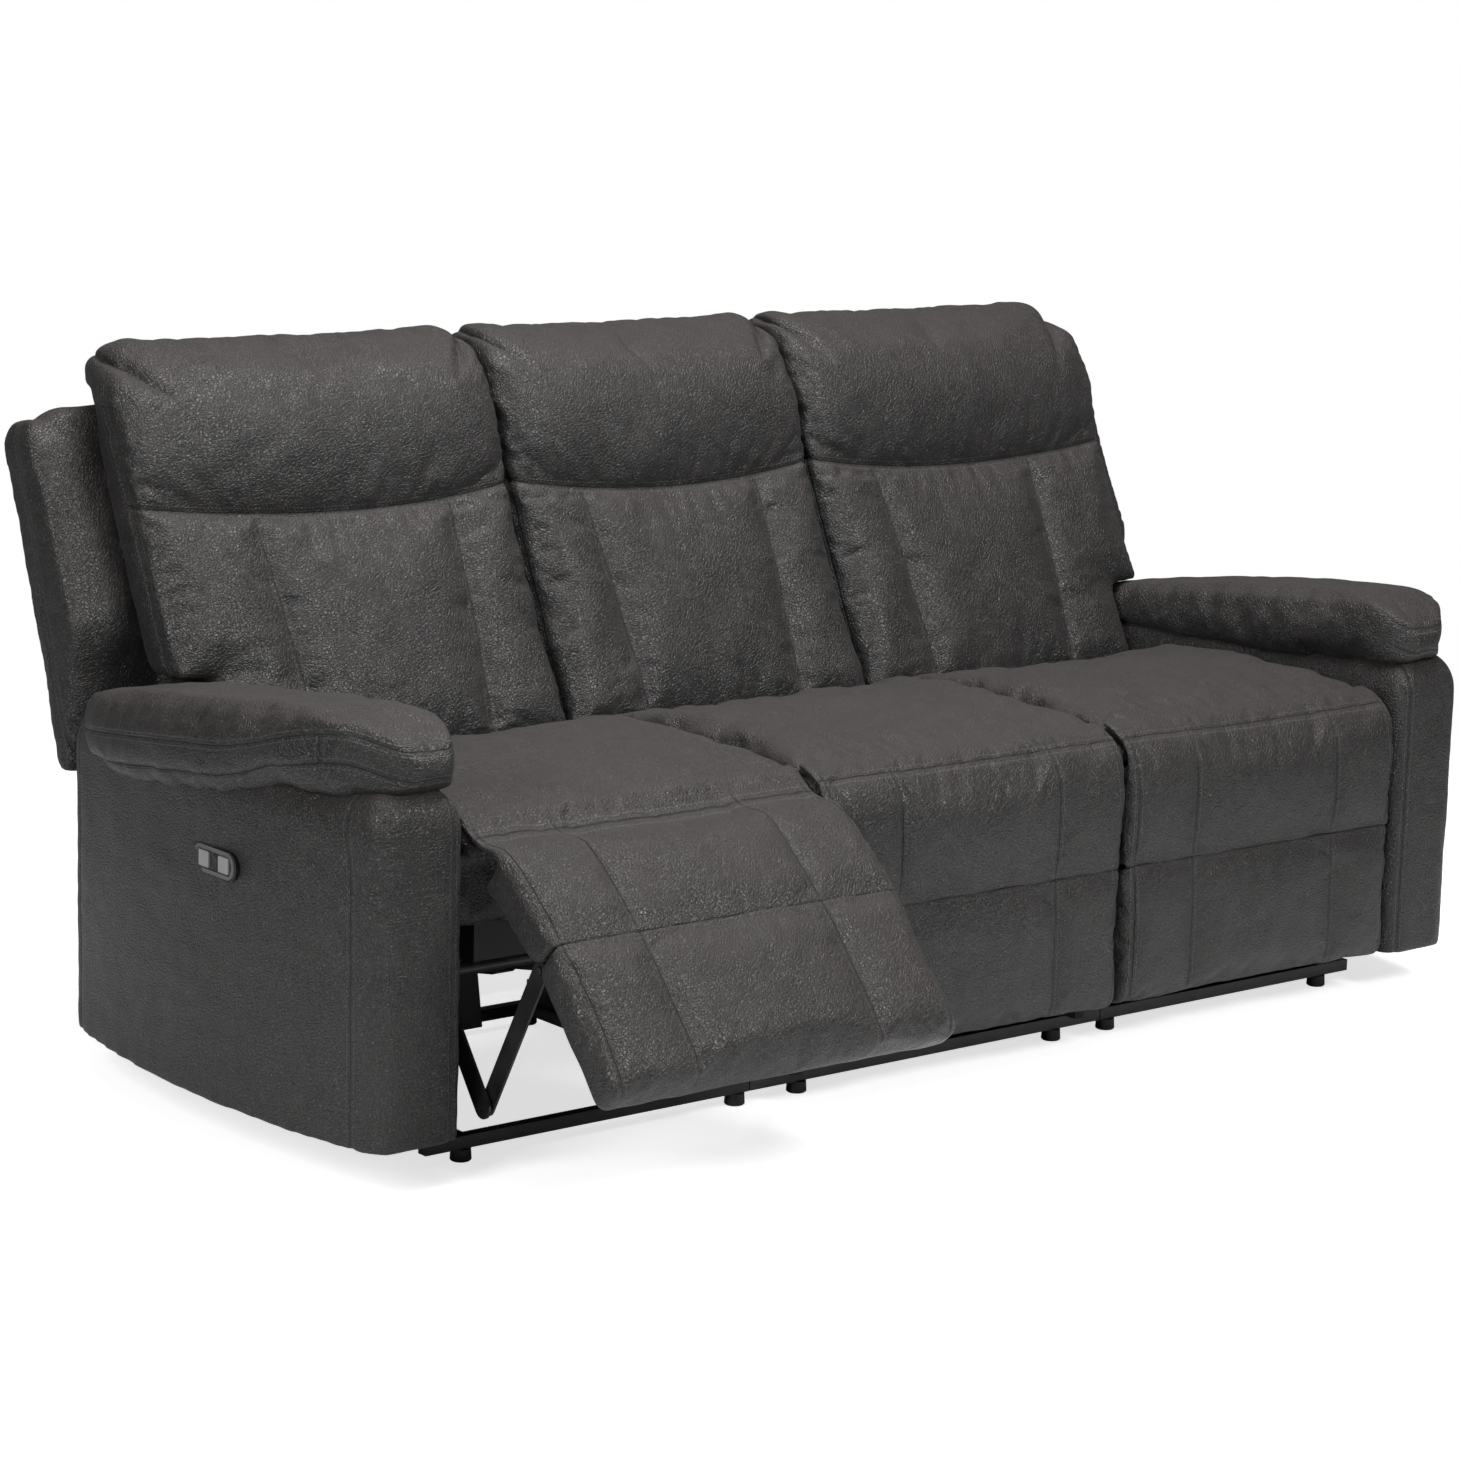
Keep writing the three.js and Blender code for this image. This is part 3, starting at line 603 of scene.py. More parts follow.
def shell_block(x0, x1, wing=None, skirt_inset=0.004):
    bm = bmesh.new()
    top = 0.960
    upper_part = [(face_y(SHELL_BOTTOM + 0.008, 0.098), SHELL_BOTTOM + 0.008), (face_y(top, 0.098), top),
                  (rear_y(top) - 0.004, top), (rear_y(SHELL_BOTTOM) - 0.004, SHELL_BOTTOM - 0.02)]
    prism(bm, upper_part, x0, x1, edge=0.008, side=0.010)
    radius = math.hypot(rear_base - recline.y, SHELL_BOTTOM - recline.z) - 0.003
    first = math.atan2(SHELL_BOTTOM - recline.z, rear_base - recline.y)
    last = math.radians(-50)
    arc = [(recline.y + r * math.cos(first + (last - first) * step / 10),
            recline.z + r * math.sin(first + (last - first) * step / 10))
           for r, steps in ((radius, range(11)), (radius - 0.022, range(10, -1, -1))) for step in steps]
    prism(bm, arc, x0 + skirt_inset, x1 - skirt_inset)
    if wing is not None:
        clear = front + WING_FRONT
        side_view = [(clear, SHELL_BOTTOM + 0.004), (clear, 0.566), (face_y(0.640, 0.100), 0.640),
                     (face_y(top - 0.016, 0.100), top - 0.016), (rear_y(top) - 0.062, top - 0.017),
                     (rear_y(top) - 0.026, top - 0.036), (rear_y(top) - 0.022, top - 0.080),
                     (rear_y(SHELL_BOTTOM), SHELL_BOTTOM + 0.004)]
        prism(bm, side_view, x1 - 0.03, wing, edge=0.022, side=0.032)
    return bm


wing_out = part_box("right_back_shell")[1].x
right_shell = shell_block(pitch - half_seat, pitch + half_seat + 0.004, wing_out - 0.004, skirt_inset=0.038)
shells = {"centre": skin("centre_shell_cover", shell_block(-half_seat, half_seat), 0.0085, soften=3),
          "right": skin("right_shell_cover", right_shell, 0.0085, soften=4)}


def shell_seams(rest):
    """A seam along the side of the wing, and the cross seam of the outside back."""
    behind = rest[:, 1] - rear_y(rest[:, 2])
    outer = ramp(np.abs(rest[:, 0]), wing_out - 0.030, wing_out - 0.018)
    side = (behind + 0.048, rest[:, 2], outer)
    cross = (rest[:, 2] - (SHELL_BOTTOM - 0.005), rest[:, 0], ramp(behind, -0.020, -0.012))
    return [side, cross]


for name, shell in shells.items():
    co = points_of(shell.data)
    if name == "right":
        co = round_top_corners(co, -9.0, wing_out, 0.01, 0.078, co[:, 2].max())
        set_points(shell.data, co)
    behind_cushion = (1 - ramp(np.abs(co[:, 0]), 0.90, 0.93)) * (1 - ramp(back_depth(co), 0.10, 0.12))
    pins = np.maximum.reduce([bell(a, 0.009) * m for a, _, m in shell_seams(co)] + [
        1 - ramp(co[:, 2], 0.40, 0.44), behind_cushion])
    stuff_later(shell, pins, pressure=2.5, cap=0.004, slack=-0.01)
    print(name, "shell skin:", len(co), "points")

# %% [markdown]
# ## Stuffing
# All skins are stepped together, so the solver can use every processor core.

# %% Run the cloth once for every cover
stuff_all()
for name in ("right_seat_cover", "right_upper_cover", "right_lower_cover", "right_arm_pad_cover",
             "centre_back_cover", "right_back_cover"):
    refine(covers[name][0])
print("covers:", {name: len(c[0].data.vertices) for name, c in covers.items()})

# %% [markdown]
# ## Leather
# The leather is charcoal, pressed with a pebble grain and a finer crease, and duller where it faces up;
# there it is painted lighter and browner as painted top light. Object coordinates drive the grain, so it is
# the same size everywhere.
# A short class lets the node maths be written as ordinary sums.

# %% A socket that can be added and multiplied
class Wire:
    """One output of a shader node. Sums on wires add Math nodes."""

    def __init__(self, tree, socket=None):
        self.tree, self.socket = tree, socket

    def node(self, kind, settings=None, sockets=None, out=0):
        made = self.tree.nodes.new(kind)
        for name, value in (settings or {}).items():
            if name == "stops":
                for place, (position, color) in enumerate(value):
                    stops = made.color_ramp.elements
                    stop = stops[place] if place < 2 else stops.new(position)
                    stop.position, stop.color = position, color
            else:
                setattr(made, name, value)
        for name, value in (sockets or {}).items():
            if isinstance(value, Wire):
                self.tree.links.new(value.socket, made.inputs[name])
            else:
                made.inputs[name].default_value = value
        return Wire(self.tree, made.outputs[out])

    def math(self, operation, first, second=0.0, third=0.0):
        return self.node("ShaderNodeMath", {"operation": operation}, {0: first, 1: second, 2: third})

    def __add__(self, other):
        return self.math("ADD", self, other)

    def __sub__(self, other):
        return self.math("SUBTRACT", self, other)

    def __mul__(self, other):
        return self.math("MULTIPLY", self, other)

    __radd__, __rmul__ = __add__, __mul__

    def __rsub__(self, other):
        return self.math("SUBTRACT", other, self)

    def between(self, low, high, start=0.0, end=1.0):
        return self.node("ShaderNodeMapRange", {"interpolation_type": "SMOOTHSTEP"},
                         {"Value": self, "From Min": low, "From Max": high, "To Min": start, "To Max": end})


def new_material(name, **fixed):
    """A Principled material; fixed holds socket values that are the same all over."""
    material = bpy.data.materials.new(name)
    material.use_nodes = True
    tree = material.node_tree
    shader = tree.nodes["Principled BSDF"]
    for socket, value in fixed.items():
        shader.inputs[socket.replace("_", " ")].default_value = value
    return material, Wire(tree), shader


def connect(wire, shader, socket):
    wire.tree.links.new(wire.socket, shader.inputs[socket])


def noise(wire, place, scale, detail, out="Fac"):
    sockets = {"Vector": place, "Scale": scale, "Detail": detail}
    return wire.node("ShaderNodeTexNoise", sockets=sockets, out=out)


def relief(wire, shader, height, strength, distance):
    sockets = {"Height": height, "Strength": strength, "Distance": distance}
    connect(wire.node("ShaderNodeBump", sockets=sockets), shader, "Normal")


def mix(wire, factor, first, second):
    return wire.node("ShaderNodeMix", {"data_type": "RGBA"}, {0: factor, 6: first, 7: second}, out=2)


print("shader helper ready")

# %% Leather material
STITCH = 0.0065                  # length of one stitch and its gap


def leather_material(name, dark, light, top_light_tint):
    """Pebble grain, creases, painted top light on up-facing leather, and the seam lines with their thread.
    """
    material, w, shader = new_material(name, Specular_IOR_Level=0.5, Sheen_Weight=0.05, Sheen_Roughness=0.45)
    place = w.node("ShaderNodeTexCoord", out="Object")
    up = w.node("ShaderNodeSeparateXYZ", sockets={0: w.node("ShaderNodeNewGeometry", out="Normal")}, out="Z")
    drift = noise(w, place, 26.0, 2.0, out="Color")
    warped = w.node("ShaderNodeVectorMath", {"operation": "MULTIPLY_ADD"},
                    {0: drift, 1: (0.012, 0.012, 0.012), 2: place})
    cells = w.node("ShaderNodeTexVoronoi", {"feature": "DISTANCE_TO_EDGE"},
                   {"Vector": warped, "Scale": 205.0}, out="Distance")
    pebble = cells.between(0.0, 0.22)
    wide_cells = w.node("ShaderNodeTexVoronoi", {"feature": "DISTANCE_TO_EDGE"},
                        {"Vector": warped, "Scale": 105.0}, out="Distance")
    crease = wide_cells.between(0.0, 0.10)
    fine = noise(w, place, 700.0, 3.0)
    mottle = w.node("ShaderNodeTexNoise", out="Fac",
                    sockets={"Vector": place, "Scale": 9.0, "Detail": 4.0, "Roughness": 0.6})
    stored = [w.node("ShaderNodeAttribute", {"attribute_name": name}, out="Vector")
              for name in ("across", "along", "on")]
    split = [w.node("ShaderNodeSeparateXYZ", sockets={0: vector}) for vector in stored]
    axes = [[Wire(w.tree, part.socket.node.outputs[i]) for i in range(3)] for part in split]
    line = thread = None
    for across, along, on in zip(*axes):
        near = w.math("ABSOLUTE", across)
        seam = on * near.between(0.0004, 0.0017, 1.0, 0.0)
        beside = w.math("ABSOLUTE", near - 0.006)
        dash = w.math("ABSOLUTE", w.math("FRACT", along * (1 / STITCH)) - 0.5)
        stitch = on * beside.between(0.0004, 0.0010, 1.0, 0.0) * dash.between(0.30, 0.36, 1.0, 0.0)
        line = seam if line is None else w.math("MAXIMUM", line, seam)
        thread = stitch if thread is None else w.math("MAXIMUM", thread, stitch)
    body = mix(w, (mottle.between(0.30, 0.72) * 0.6 + pebble * 0.4), dark, light)
    # painted top light: leather that faces up is mixed towards the lighter brown, standing in for light from
    # above
    top_lit = mix(w, up.between(0.15, 0.85) * (0.45 + 0.55 * mottle), body, top_light_tint)
    creased = mix(w, (1 - crease) * 0.12, top_lit, (dark[0] * 0.45, dark[1] * 0.45, dark[2] * 0.45, 1))
    lined = mix(w, line * 0.85, creased, (0.006, 0.006, 0.006, 1))
    threaded = mix(w, thread * 0.8, lined, (0.085, 0.080, 0.076, 1))
    connect(threaded, shader, "Base Color")
    rough = 0.27 + 0.14 * mottle + up.between(0.55, 0.95) * 0.22 + (1 - pebble) * 0.08 + line * 0.2
    connect(rough, shader, "Roughness")
    height = pebble * 0.62 + crease * 0.34 + fine * 0.18 - line * 1.6 + thread * 0.7
    relief(w, shader, height, 0.9, 0.0012)
    return material


# the third colour is the painted top light, the lighter brown given to leather that faces up
leather = leather_material("charcoal_leather", (0.0130, 0.0119, 0.0114, 1), (0.0215, 0.0196, 0.0187, 1),
                           (0.0320, 0.0256, 0.0232, 1))
print("leather nodes:", len(leather.node_tree.nodes))

# %% [markdown]
# ## Hard finishes
# Powder-coated steel is black with a fine orange-peel surface and uneven lighter patches of dust. The feet
# and the motor housing are moulded black plastic, the seat decks are boards painted black, and the switch
# plates are satin grey with a dark window.

# %% Steel, plastic, switch plate and lining
def coated(name, dark, light, roughness, scale, depth):
    """A moulded or coated finish: two close tones, a fine relief and uneven gloss."""
    material, w, shader = new_material(name)
    place = w.node("ShaderNodeTexCoord", out="Object")
    peel = noise(w, place, scale, 3.0)
    cloud = noise(w, place, 14.0, 5.0)
    connect(mix(w, cloud.between(0.35, 0.70), (*dark, 1), (*light, 1)), shader, "Base Color")
    connect(roughness + 0.18 * (cloud - 0.5) + 0.06 * peel, shader, "Roughness")
    relief(w, shader, peel, 0.5, depth)
    return material


steel = coated("black_coated_steel", (0.010, 0.010, 0.011), (0.022, 0.022, 0.023), 0.36, 420.0, 0.0003)
plastic = coated("moulded_black_plastic", (0.009, 0.009, 0.009), (0.018, 0.018, 0.018), 0.48, 900.0, 0.0002)
button_grey = coated("light_grey_button", (0.26, 0.265, 0.27), (0.31, 0.315, 0.32), 0.42, 1500.0, 0.00006)
painted = coated("black_painted_board", (0.010, 0.010, 0.010), (0.019, 0.018, 0.018), 0.62, 160.0, 0.0006)


def plate_material(name, middle, window, rim):
    """Satin grey with a dark window; a darker line marks the rim where the plate meets the leather."""
    material, w, shader = new_material(name, Metallic=0.3)
    place = w.node("ShaderNodeTexCoord", out="Object")
    apart = w.node("ShaderNodeVectorMath", {"operation": "SUBTRACT"}, {0: place, 1: middle})
    axes = [w.node("ShaderNodeSeparateXYZ", sockets={0: apart}, out=i) for i in (1, 2)]
    reach = [w.math("MAXIMUM", w.math("ABSOLUTE", axis) - (size - window[1]), 0.0)
             for axis, size in zip(axes, window)]
    distance = w.math("SQRT", reach[0] * reach[0] + reach[1] * reach[1])
    inside = distance.between(window[1] - 0.0006, window[1], 1.0, 0.0)
    edge = distance.between(rim - 0.0016, rim - 0.0008)
    grain = noise(w, place, 1500.0, 3.0)
    grey = mix(w, grain, (0.105, 0.108, 0.112, 1), (0.150, 0.153, 0.158, 1))
    connect(mix(w, w.math("MAXIMUM", inside, edge), grey, (0.008, 0.008, 0.009, 1)), shader, "Base Color")
    connect(0.30 + 0.12 * grain - 0.08 * inside, shader, "Roughness")
    relief(w, shader, grain, 0.5, 0.00008)
    return material


def lining_material():
    material, w, shader = new_material("black_lining", Sheen_Weight=0.1)
    place = w.node("ShaderNodeTexCoord", out="Object")
    weave = w.node("ShaderNodeTexVoronoi", sockets={"Vector": place, "Scale": 620.0}, out="Distance")
    fold = noise(w, place, 11.0, 3.0)
    connect(mix(w, fold, (0.006, 0.006, 0.006, 1), (0.016, 0.016, 0.016, 1)), shader, "Base Color")
    connect(0.85 + 0.1 * weave, shader, "Roughness")
    relief(w, shader, weave + 4.0 * fold, 0.6, 0.0005)
    return material


lining = lining_material()
print("materials:", [m.name for m in bpy.data.materials])


def dress(obj, material, body):
    obj.data.materials.clear()
    obj.data.materials.append(material)
    if body:
        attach(obj, body)
    return obj


# %% [markdown]
# ## Sewing the seats and pads
# The stuffed cover of the right seat is copied to the middle and mirrored to the left before it is sewn, so
# each has its own puckers.

# %% Sew and place seat cushions
def seat_seams(rest, middle):
    """The seam along both top side edges."""
    u = rest[:, 0] - middle
    drop = 0.478 - rest[:, 2]
    side = np.abs(u) > half_seat - 0.06
    return [(drop, rest[:, 1], side * ramp(np.abs(u), half_seat - 0.016, half_seat - 0.008))]


def shifted_rest(obj, matrix):
    """A copied cover carries its rest points along."""
    values = rest_of(obj.data)
    m = np.array(matrix)
    moved = values @ m[:3, :3].T + m[:3, 3]
    obj.data.attributes["rest"].data.foreach_set("vector", moved.astype(np.float32).ravel())
    return moved


seat_places = {"right": Matrix.Identity(4), "centre": along_x(-pitch), "left": MIRROR}
seat_middle = {"left": -pitch, "centre": 0.0, "right": pitch}
seats = {"right": seat}
for name in ("centre", "left"):
    seats[name] = copy_of(seat, f"{name}_seat_cover", seat_places[name])
for number, (name, matrix) in enumerate(seat_places.items()):
    cover = seats[name]
    moved = shifted_rest(cover, matrix)
    sew(cover, seat_seams(moved, seat_middle[name]), seed=20 + number, valley=(0.003,), wrinkle=0.0024)
    dress(cover, leather, "root")
    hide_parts(f"{name}_seat_cushion")
print("seats sewn")

# %% [markdown]
# ## Placing the front pads
# The pads are made closed. On the left seat they are turned about the seat's front edge and about the fold
# by the angles at which the model stands. The upper pad's leather stays sewn to the seat along the top while
# the pad turns, so that piece is blended between the two.

# %% Sew and place front pads
WRAP_START, WRAP_END = Vector((0, 0.046, 0.004)), Vector((0, 0.000, -0.050))


def turn(points, pivot, angle):
    """Turn points (y, z) about an X-wise pivot; a positive angle opens the seat. angle may be an array."""
    y, z = points[:, 1] - pivot[0], points[:, 2] - pivot[1]
    out = points.copy()
    out[:, 1] = pivot[0] + y * np.cos(angle) + z * np.sin(angle)
    out[:, 2] = pivot[1] - y * np.sin(angle) + z * np.cos(angle)
    return out


hip_point = (hip.y, hip.z)
fold_closed = (front, fold_z)
front_pads = {"right": (upper, lower)}
for name in ("centre", "left"):
    front_pads[name] = (copy_of(upper, f"{name}_upper_cover", seat_places[name]),
                        copy_of(lower, f"{name}_lower_cover", seat_places[name]))
for number, (name, (top_pad, low_pad)) in enumerate(front_pads.items()):
    right_rest = rest_of(top_pad.data)
    seams = pad_seams(right_rest, fold_z, 0.5)
    stitch = (right_rest[:, 1] - (front + 0.026), right_rest[:, 0], ramp(right_rest[:, 2], 0.462, 0.470))
    sew(top_pad, seams + [stitch], seed=40 + number, valley=(0.0010, 0.0010, 0.0014))
    right_rest = rest_of(low_pad.data)
    sew(low_pad, pad_seams(right_rest, 0.06, fold_z), seed=50 + number, valley=(0.0010, 0.0014))
    start, end = hip + WRAP_START, hip + WRAP_END
    if name == "left":
        co = points_of(top_pad.data)
        line = np.array(end - start)
        t = np.clip((co - np.array(start)) @ (line * [0, 1, 1]) / (line[1] ** 2 + line[2] ** 2), 0, 1)
        set_points(top_pad.data, turn(co, hip_point, left_opening * t * t * (3 - 2 * t)))
        co = turn(points_of(low_pad.data), fold_closed, -left_fold)
        set_points(low_pad.data, turn(co, hip_point, left_opening))
        moved = turn(np.array([[0, end.y, end.z]]), hip_point, left_opening)[0]
        end = Vector((0, moved[1], moved[2]))
    body = {"left": "left", "right": "right"}.get(name)
    dress(top_pad, leather, None if body else "root")
    dress(low_pad, leather, f"{body}_footrest" if body else "root")
    if body:
        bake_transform(top_pad)
        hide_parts(f"{name}_bridge_pad")
        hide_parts(f"{name}_footrest_pad")
    else:
        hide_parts("centre_front_upper_panel")
        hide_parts("centre_front_lower_panel")
print("front pads placed; left pads turned", round(math.degrees(left_opening), 1), "degrees")

# %% Sew and place the backs
backs["left"] = copy_of(backs["right"], "left_back_cover", Matrix.Identity(4))
for number, (name, cover) in enumerate(backs.items()):
    middle = 0.0 if name == "centre" else pitch
    edges = back_edges["centre" if name == "centre" else "right"]
    rest = rest_of(cover.data)
    seams, depth = back_seams(rest, middle, *edges)
    co, normal = points_of(cover.data), normals_of(cover.data)
    pillow = bell(seams[0][0] - 0.120, 0.085) * (1 - ramp(depth, 0.03, 0.06))
    corner = ramp(np.abs(rest[:, 0] - middle), 0.20, 0.27) * ramp(rest[:, 2], 0.90, 0.98)
    along_fan = rest[:, 0] * 0.9 + rest[:, 2] * 1.4
    fans = np.sin(along_fan * 2 * math.pi / 0.041 + ripple(rest, 0.09, 61 + number))
    low_fold = (1 - ramp(rest[:, 2], 0.47, 0.56)) * ripple(rest * [1, 0.3, 0.35], 0.07, 71 + number)
    push = 0.006 * pillow + 0.0007 * corner * fans + 0.0016 * low_fold
    set_points(cover.data, co + normal * push[:, None])
    sew(cover, seams, seed=80 + 5 * number, valley=(0.005, 0.0012, 0.003), pucker=0.0008, wrinkle=0.0009)
    if name == "left":
        mirror(cover)
    dress(cover, leather, "root" if name == "centre" else f"{name}_back")
    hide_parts(f"{name}_back_cushion")
print("backs sewn")

# %% Sew and place arm pads and shells
arm_pad_left = copy_of(arm_pad, "left_arm_pad_cover", Matrix.Identity(4))
for number, (name, cover) in enumerate((("right", arm_pad), ("left", arm_pad_left))):
    rest = rest_of(cover.data)
    sew(cover, arm_pad_seams(rest), seed=110 + 5 * number, valley=(0.0014, 0.0024, 0.0014),
        pucker=0.0010, wrinkle=0.0014)
    if name == "left":
        mirror(cover)
    dress(cover, leather, "root")
    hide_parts(f"{name}_arm_pad")

shells["left"] = copy_of(shells["right"], "left_shell_cover", Matrix.Identity(4))
for number, (name, cover) in enumerate(shells.items()):
    rest = rest_of(cover.data)
    sew(cover, shell_seams(rest), seed=130 + 5 * number, valley=(0.002, 0.0035),
        pucker=0.0005, wrinkle=0.0008)
    if name == "left":
        mirror(cover)
    dress(cover, leather, "root" if name == "centre" else f"{name}_back")
    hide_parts(f"{name}_back_shell")
print("arm pads and shells sewn")

# %% [markdown]
# ## Arms
# The arm is a plywood box under thin foam: firm, with a bowed outer panel and a round top. It needs no
# stuffing. Its plan is extruded upwards and bevelled, and seams join the front panel to both sides.

# %% Make the arms
def arm_block():
    bm = bmesh.new()
    inner, outer = arm_low.x + 0.001, ARM_OUTER
    steps = 14
    plan = [(inner, arm_low.y + 0.001)]
    for step in range(steps + 1):
        y = arm_low.y + 0.001 + (arm_depth - 0.002) * step / steps
        plan.append((outer + float(bow(y)) - 0.001, y))
    plan.append((inner, arm_high.y - 0.001))
    face = bm.faces.new([bm.verts.new((x, y, arm_low.z + 0.001)) for x, y in plan])
    pushed = bmesh.ops.extrude_face_region(bm, geom=[face])["geom"]
    top = [part for part in pushed if isinstance(part, bmesh.types.BMVert)]
    bmesh.ops.translate(bm, verts=top, vec=(0, 0, arm_high.z - arm_low.z - 0.002))
    for radius, segments, end in ((0.020, 4, arm_high.y), (0.030, 6, arm_low.y)):
        corners = [e for e in bm.edges if abs(e.verts[0].co.z - e.verts[1].co.z) > 0.1
                   and abs(e.verts[0].co.y - end) < 0.01]
        bmesh.ops.bevel(bm, geom=corners, offset=radius, segments=segments, profile=0.5,
                        affect="EDGES", material=-1)
    rim = [e for e in bm.edges if min(v.co.z for v in e.verts) > arm_high.z - 0.01]
    bmesh.ops.bevel(bm, geom=rim, offset=0.064, segments=8, profile=0.5, affect="EDGES", material=-1)
    bmesh.ops.recalc_face_normals(bm, faces=bm.faces[:])
    return bm


def arm_seams(rest):
    line = rest[:, 1] - (front + 0.052 + 0.012 * ramp(rest[:, 2], 0.40, 0.54))
    outer = ramp(rest[:, 0], arm_low.x + 0.02, arm_low.x + 0.04)
    rear = rest[:, 1] - (arm_high.y - 0.030)
    inner = rest[:, 0] - (arm_low.x + 0.024)
    on_front = 1 - ramp(rest[:, 1], front + 0.030, front + 0.045)
    return [(line, rest[:, 2] + rest[:, 0], outer), (rear, rest[:, 2] + rest[:, 0], outer),
            (inner, rest[:, 2], on_front)]


arm = skin("right_arm_cover", arm_block(), 0.0052, soften=4)
keep_rest(arm, points_of(arm.data))
arm_left = copy_of(arm, "left_arm_cover", Matrix.Identity(4))
for number, (name, cover) in enumerate((("right", arm), ("left", arm_left))):
    rest = rest_of(cover.data)
    sew(cover, arm_seams(rest), seed=160 + 5 * number, valley=(0.002, 0.002, 0.002),
        pucker=0.0004, wrinkle=0.0006)
    if name == "left":
        mirror(cover)
    dress(cover, leather, "root")
    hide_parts(f"{name}_arm")
print("arms made:", len(arm.data.vertices), "points")

# %% [markdown]
# ## The panel across the rear
# A straight padded board closes the space between the arms, low at the rear.

# %% Make the rear panel
rear_low, rear_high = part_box("rear_panel")
bm = bmesh.new()
bmesh.ops.create_cube(bm, size=1.0)
bmesh.ops.scale(bm, vec=rear_high - rear_low - Vector((0.004, 0.004, 0.004)), verts=bm.verts[:])
bmesh.ops.translate(bm, vec=(rear_high + rear_low) / 2, verts=bm.verts[:])
bmesh.ops.bevel(bm, geom=bm.edges[:], offset=0.010, segments=4, profile=0.5, affect="EDGES", material=-1)
rear = skin("rear_panel_cover", bm, 0.006, soften=2)
rest = points_of(rear.data)
keep_rest(rear, rest)
outside = ramp(rest[:, 1], rear_high.y - 0.02, rear_high.y - 0.012)
hem = (rest[:, 2] - (rear_low.z + 0.022), rest[:, 0], outside)
joins = (np.abs(np.abs(rest[:, 0]) - pitch / 2), rest[:, 2], outside)
sew(rear, [hem, joins], seed=190, valley=(0.003, 0.003), wrinkle=0.0008)
dress(rear, leather, "root")
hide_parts("rear_panel")
print("rear panel:", len(rest), "points")

# %% [markdown]
# ## Finishes on the frame's own pieces
# Steel, wood and plastic pieces keep their true shapes from the model and only get a finish here.

# %% Dress the frame
plate_low, plate_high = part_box("left_control_plate")
plate_half = (plate_high - plate_low) / 2
plate_window = (plate_half.y * 0.78, plate_half.z * 0.62)
plate = plate_material("switch_plate", (plate_low + plate_high) / 2, plate_window, plate_half.z)
words = (("mechanism_frame", steel), ("base_frame", steel), ("link", steel), ("shaft", steel),
         ("motor_rod", steel), ("foot_front", plastic), ("foot_rear", plastic), ("motor", plastic),
         ("seat_deck", painted), ("seat_box", lining),
         ("footrest_board", painted), ("control_plate", plate), ("button", button_grey))
for name, node in frame["nodes"].items():
    for word, material in words:
        if word in name:
            node.data.materials.clear()
            node.data.materials.append(material)
            break
print("frame dressed")

# %% [markdown]
# ## Floor, light and camera
# A pale floor, one large soft light from the front left, one from above and a faint fill. The camera stands
# far away with a long lens, so upright lines stay upright.

# %% Floor and light
bm = bmesh.new()
bmesh.ops.create_grid(bm, x_segments=1, y_segments=1, size=30)
floor = from_bmesh("floor", bm)
floor_material, w, shader = new_material("pale_floor", Base_Color=(0.92, 0.92, 0.92, 1), Roughness=0.9,
                                         Emission_Strength=0.70)
connect(w.node("ShaderNodeLightPath", out="Is Camera Ray"), shader, "Emission Color")
place = w.node("ShaderNodeTexCoord", out="Object")
away = w.node("ShaderNodeVectorMath", {"operation": "LENGTH"}, {0: place}, out="Value")
clear = w.node("ShaderNodeBsdfTransparent", out="BSDF")
solid = Wire(w.tree, shader.outputs["BSDF"])
faded = w.node("ShaderNodeMixShader", sockets={0: away.between(1.5, 3.0), 1: solid, 2: clear}, out="Shader")
w.tree.links.new(faded.socket, w.tree.nodes["Material Output"].inputs["Surface"])
floor.data.materials.append(floor_material)

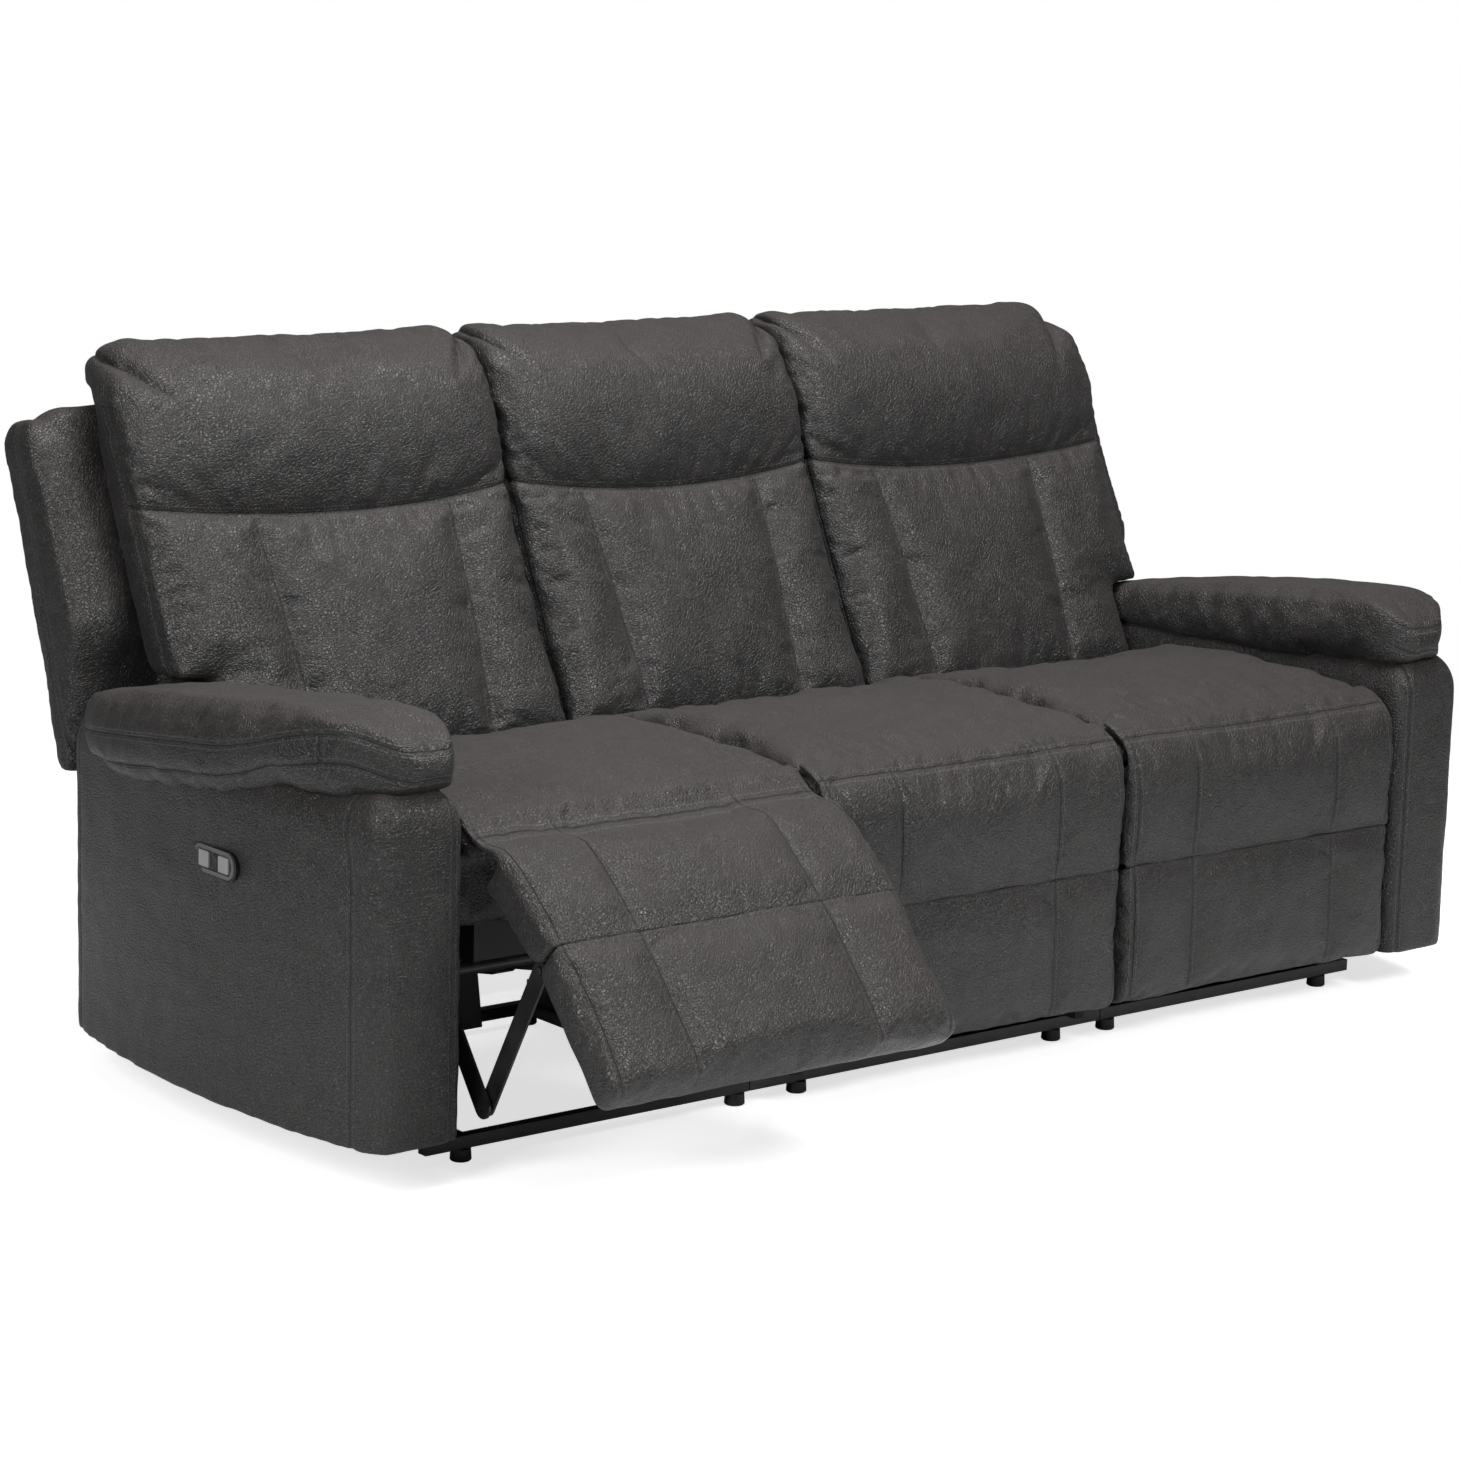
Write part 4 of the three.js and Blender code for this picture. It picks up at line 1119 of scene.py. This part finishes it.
ROOM_LIGHT = 0.11                # the white room shows as white, and lights the sofa softly
world = bpy.data.worlds.new("studio")
bpy.context.scene.world = world
world.use_nodes = True
sky = world.node_tree.nodes["Background"]
sky.inputs["Color"].default_value = (1, 1, 1, 1)
seen = Wire(world.node_tree).node("ShaderNodeLightPath", out="Is Camera Ray")
connect_world = seen * (1.0 - ROOM_LIGHT) + ROOM_LIGHT
world.node_tree.links.new(connect_world.socket, sky.inputs["Strength"])


def soft_light(name, place, target, size, power):
    lamp = bpy.data.lights.new(name, "AREA")
    lamp.shape = "RECTANGLE"
    lamp.size, lamp.size_y = size
    lamp.energy = power
    made = bpy.data.objects.new(name, lamp)
    aim = Vector(target) - Vector(place)
    made.matrix_world = Matrix.Translation(place) @ aim.to_track_quat("-Z", "Y").to_matrix().to_4x4()
    bpy.context.scene.collection.objects.link(made)
    return made


soft_light("key", (0.7, -3.3, 2.9), (-0.9, 0.1, 0.6), (1.2, 1.0), 72)
soft_light("left", (-4.2, -1.4, 2.5), (-0.9, 0, 0.6), (1.4, 2.2), 92)
soft_light("top", (0.0, -0.3, 3.6), (-0.2, 0.1, 0.5), (2.6, 2.0), 125)
bpy.context.scene.view_settings.view_transform = "Standard"
print("floor and lights ready")

# %% Camera
yaw, pitch_angle, roll = math.radians(38.8), math.radians(-11.1), math.radians(1.5)
level = math.cos(pitch_angle)
forward = Vector((math.sin(yaw) * level, math.cos(yaw) * level, math.sin(pitch_angle)))
right = Vector((math.cos(yaw), -math.sin(yaw), 0))
over = right.cross(forward)
axis_x = right * math.cos(roll) + over * math.sin(roll)
axis_y = over * math.cos(roll) - right * math.sin(roll)
camera_data = bpy.data.cameras.new("camera")
camera_data.sensor_width = 36
camera_data.lens = 94.1
camera_data.shift_x = -0.0102
camera_data.clip_end = 100
camera = bpy.data.objects.new("camera", camera_data)
turned = Matrix((axis_x, axis_y, -forward)).transposed().to_4x4()
camera.matrix_world = Matrix.Translation((-3.6503, front - 3.9890, 1.5731)) @ turned
bpy.context.scene.collection.objects.link(camera)
bpy.context.scene.camera = camera
print("camera at", [round(v, 2) for v in camera.location])
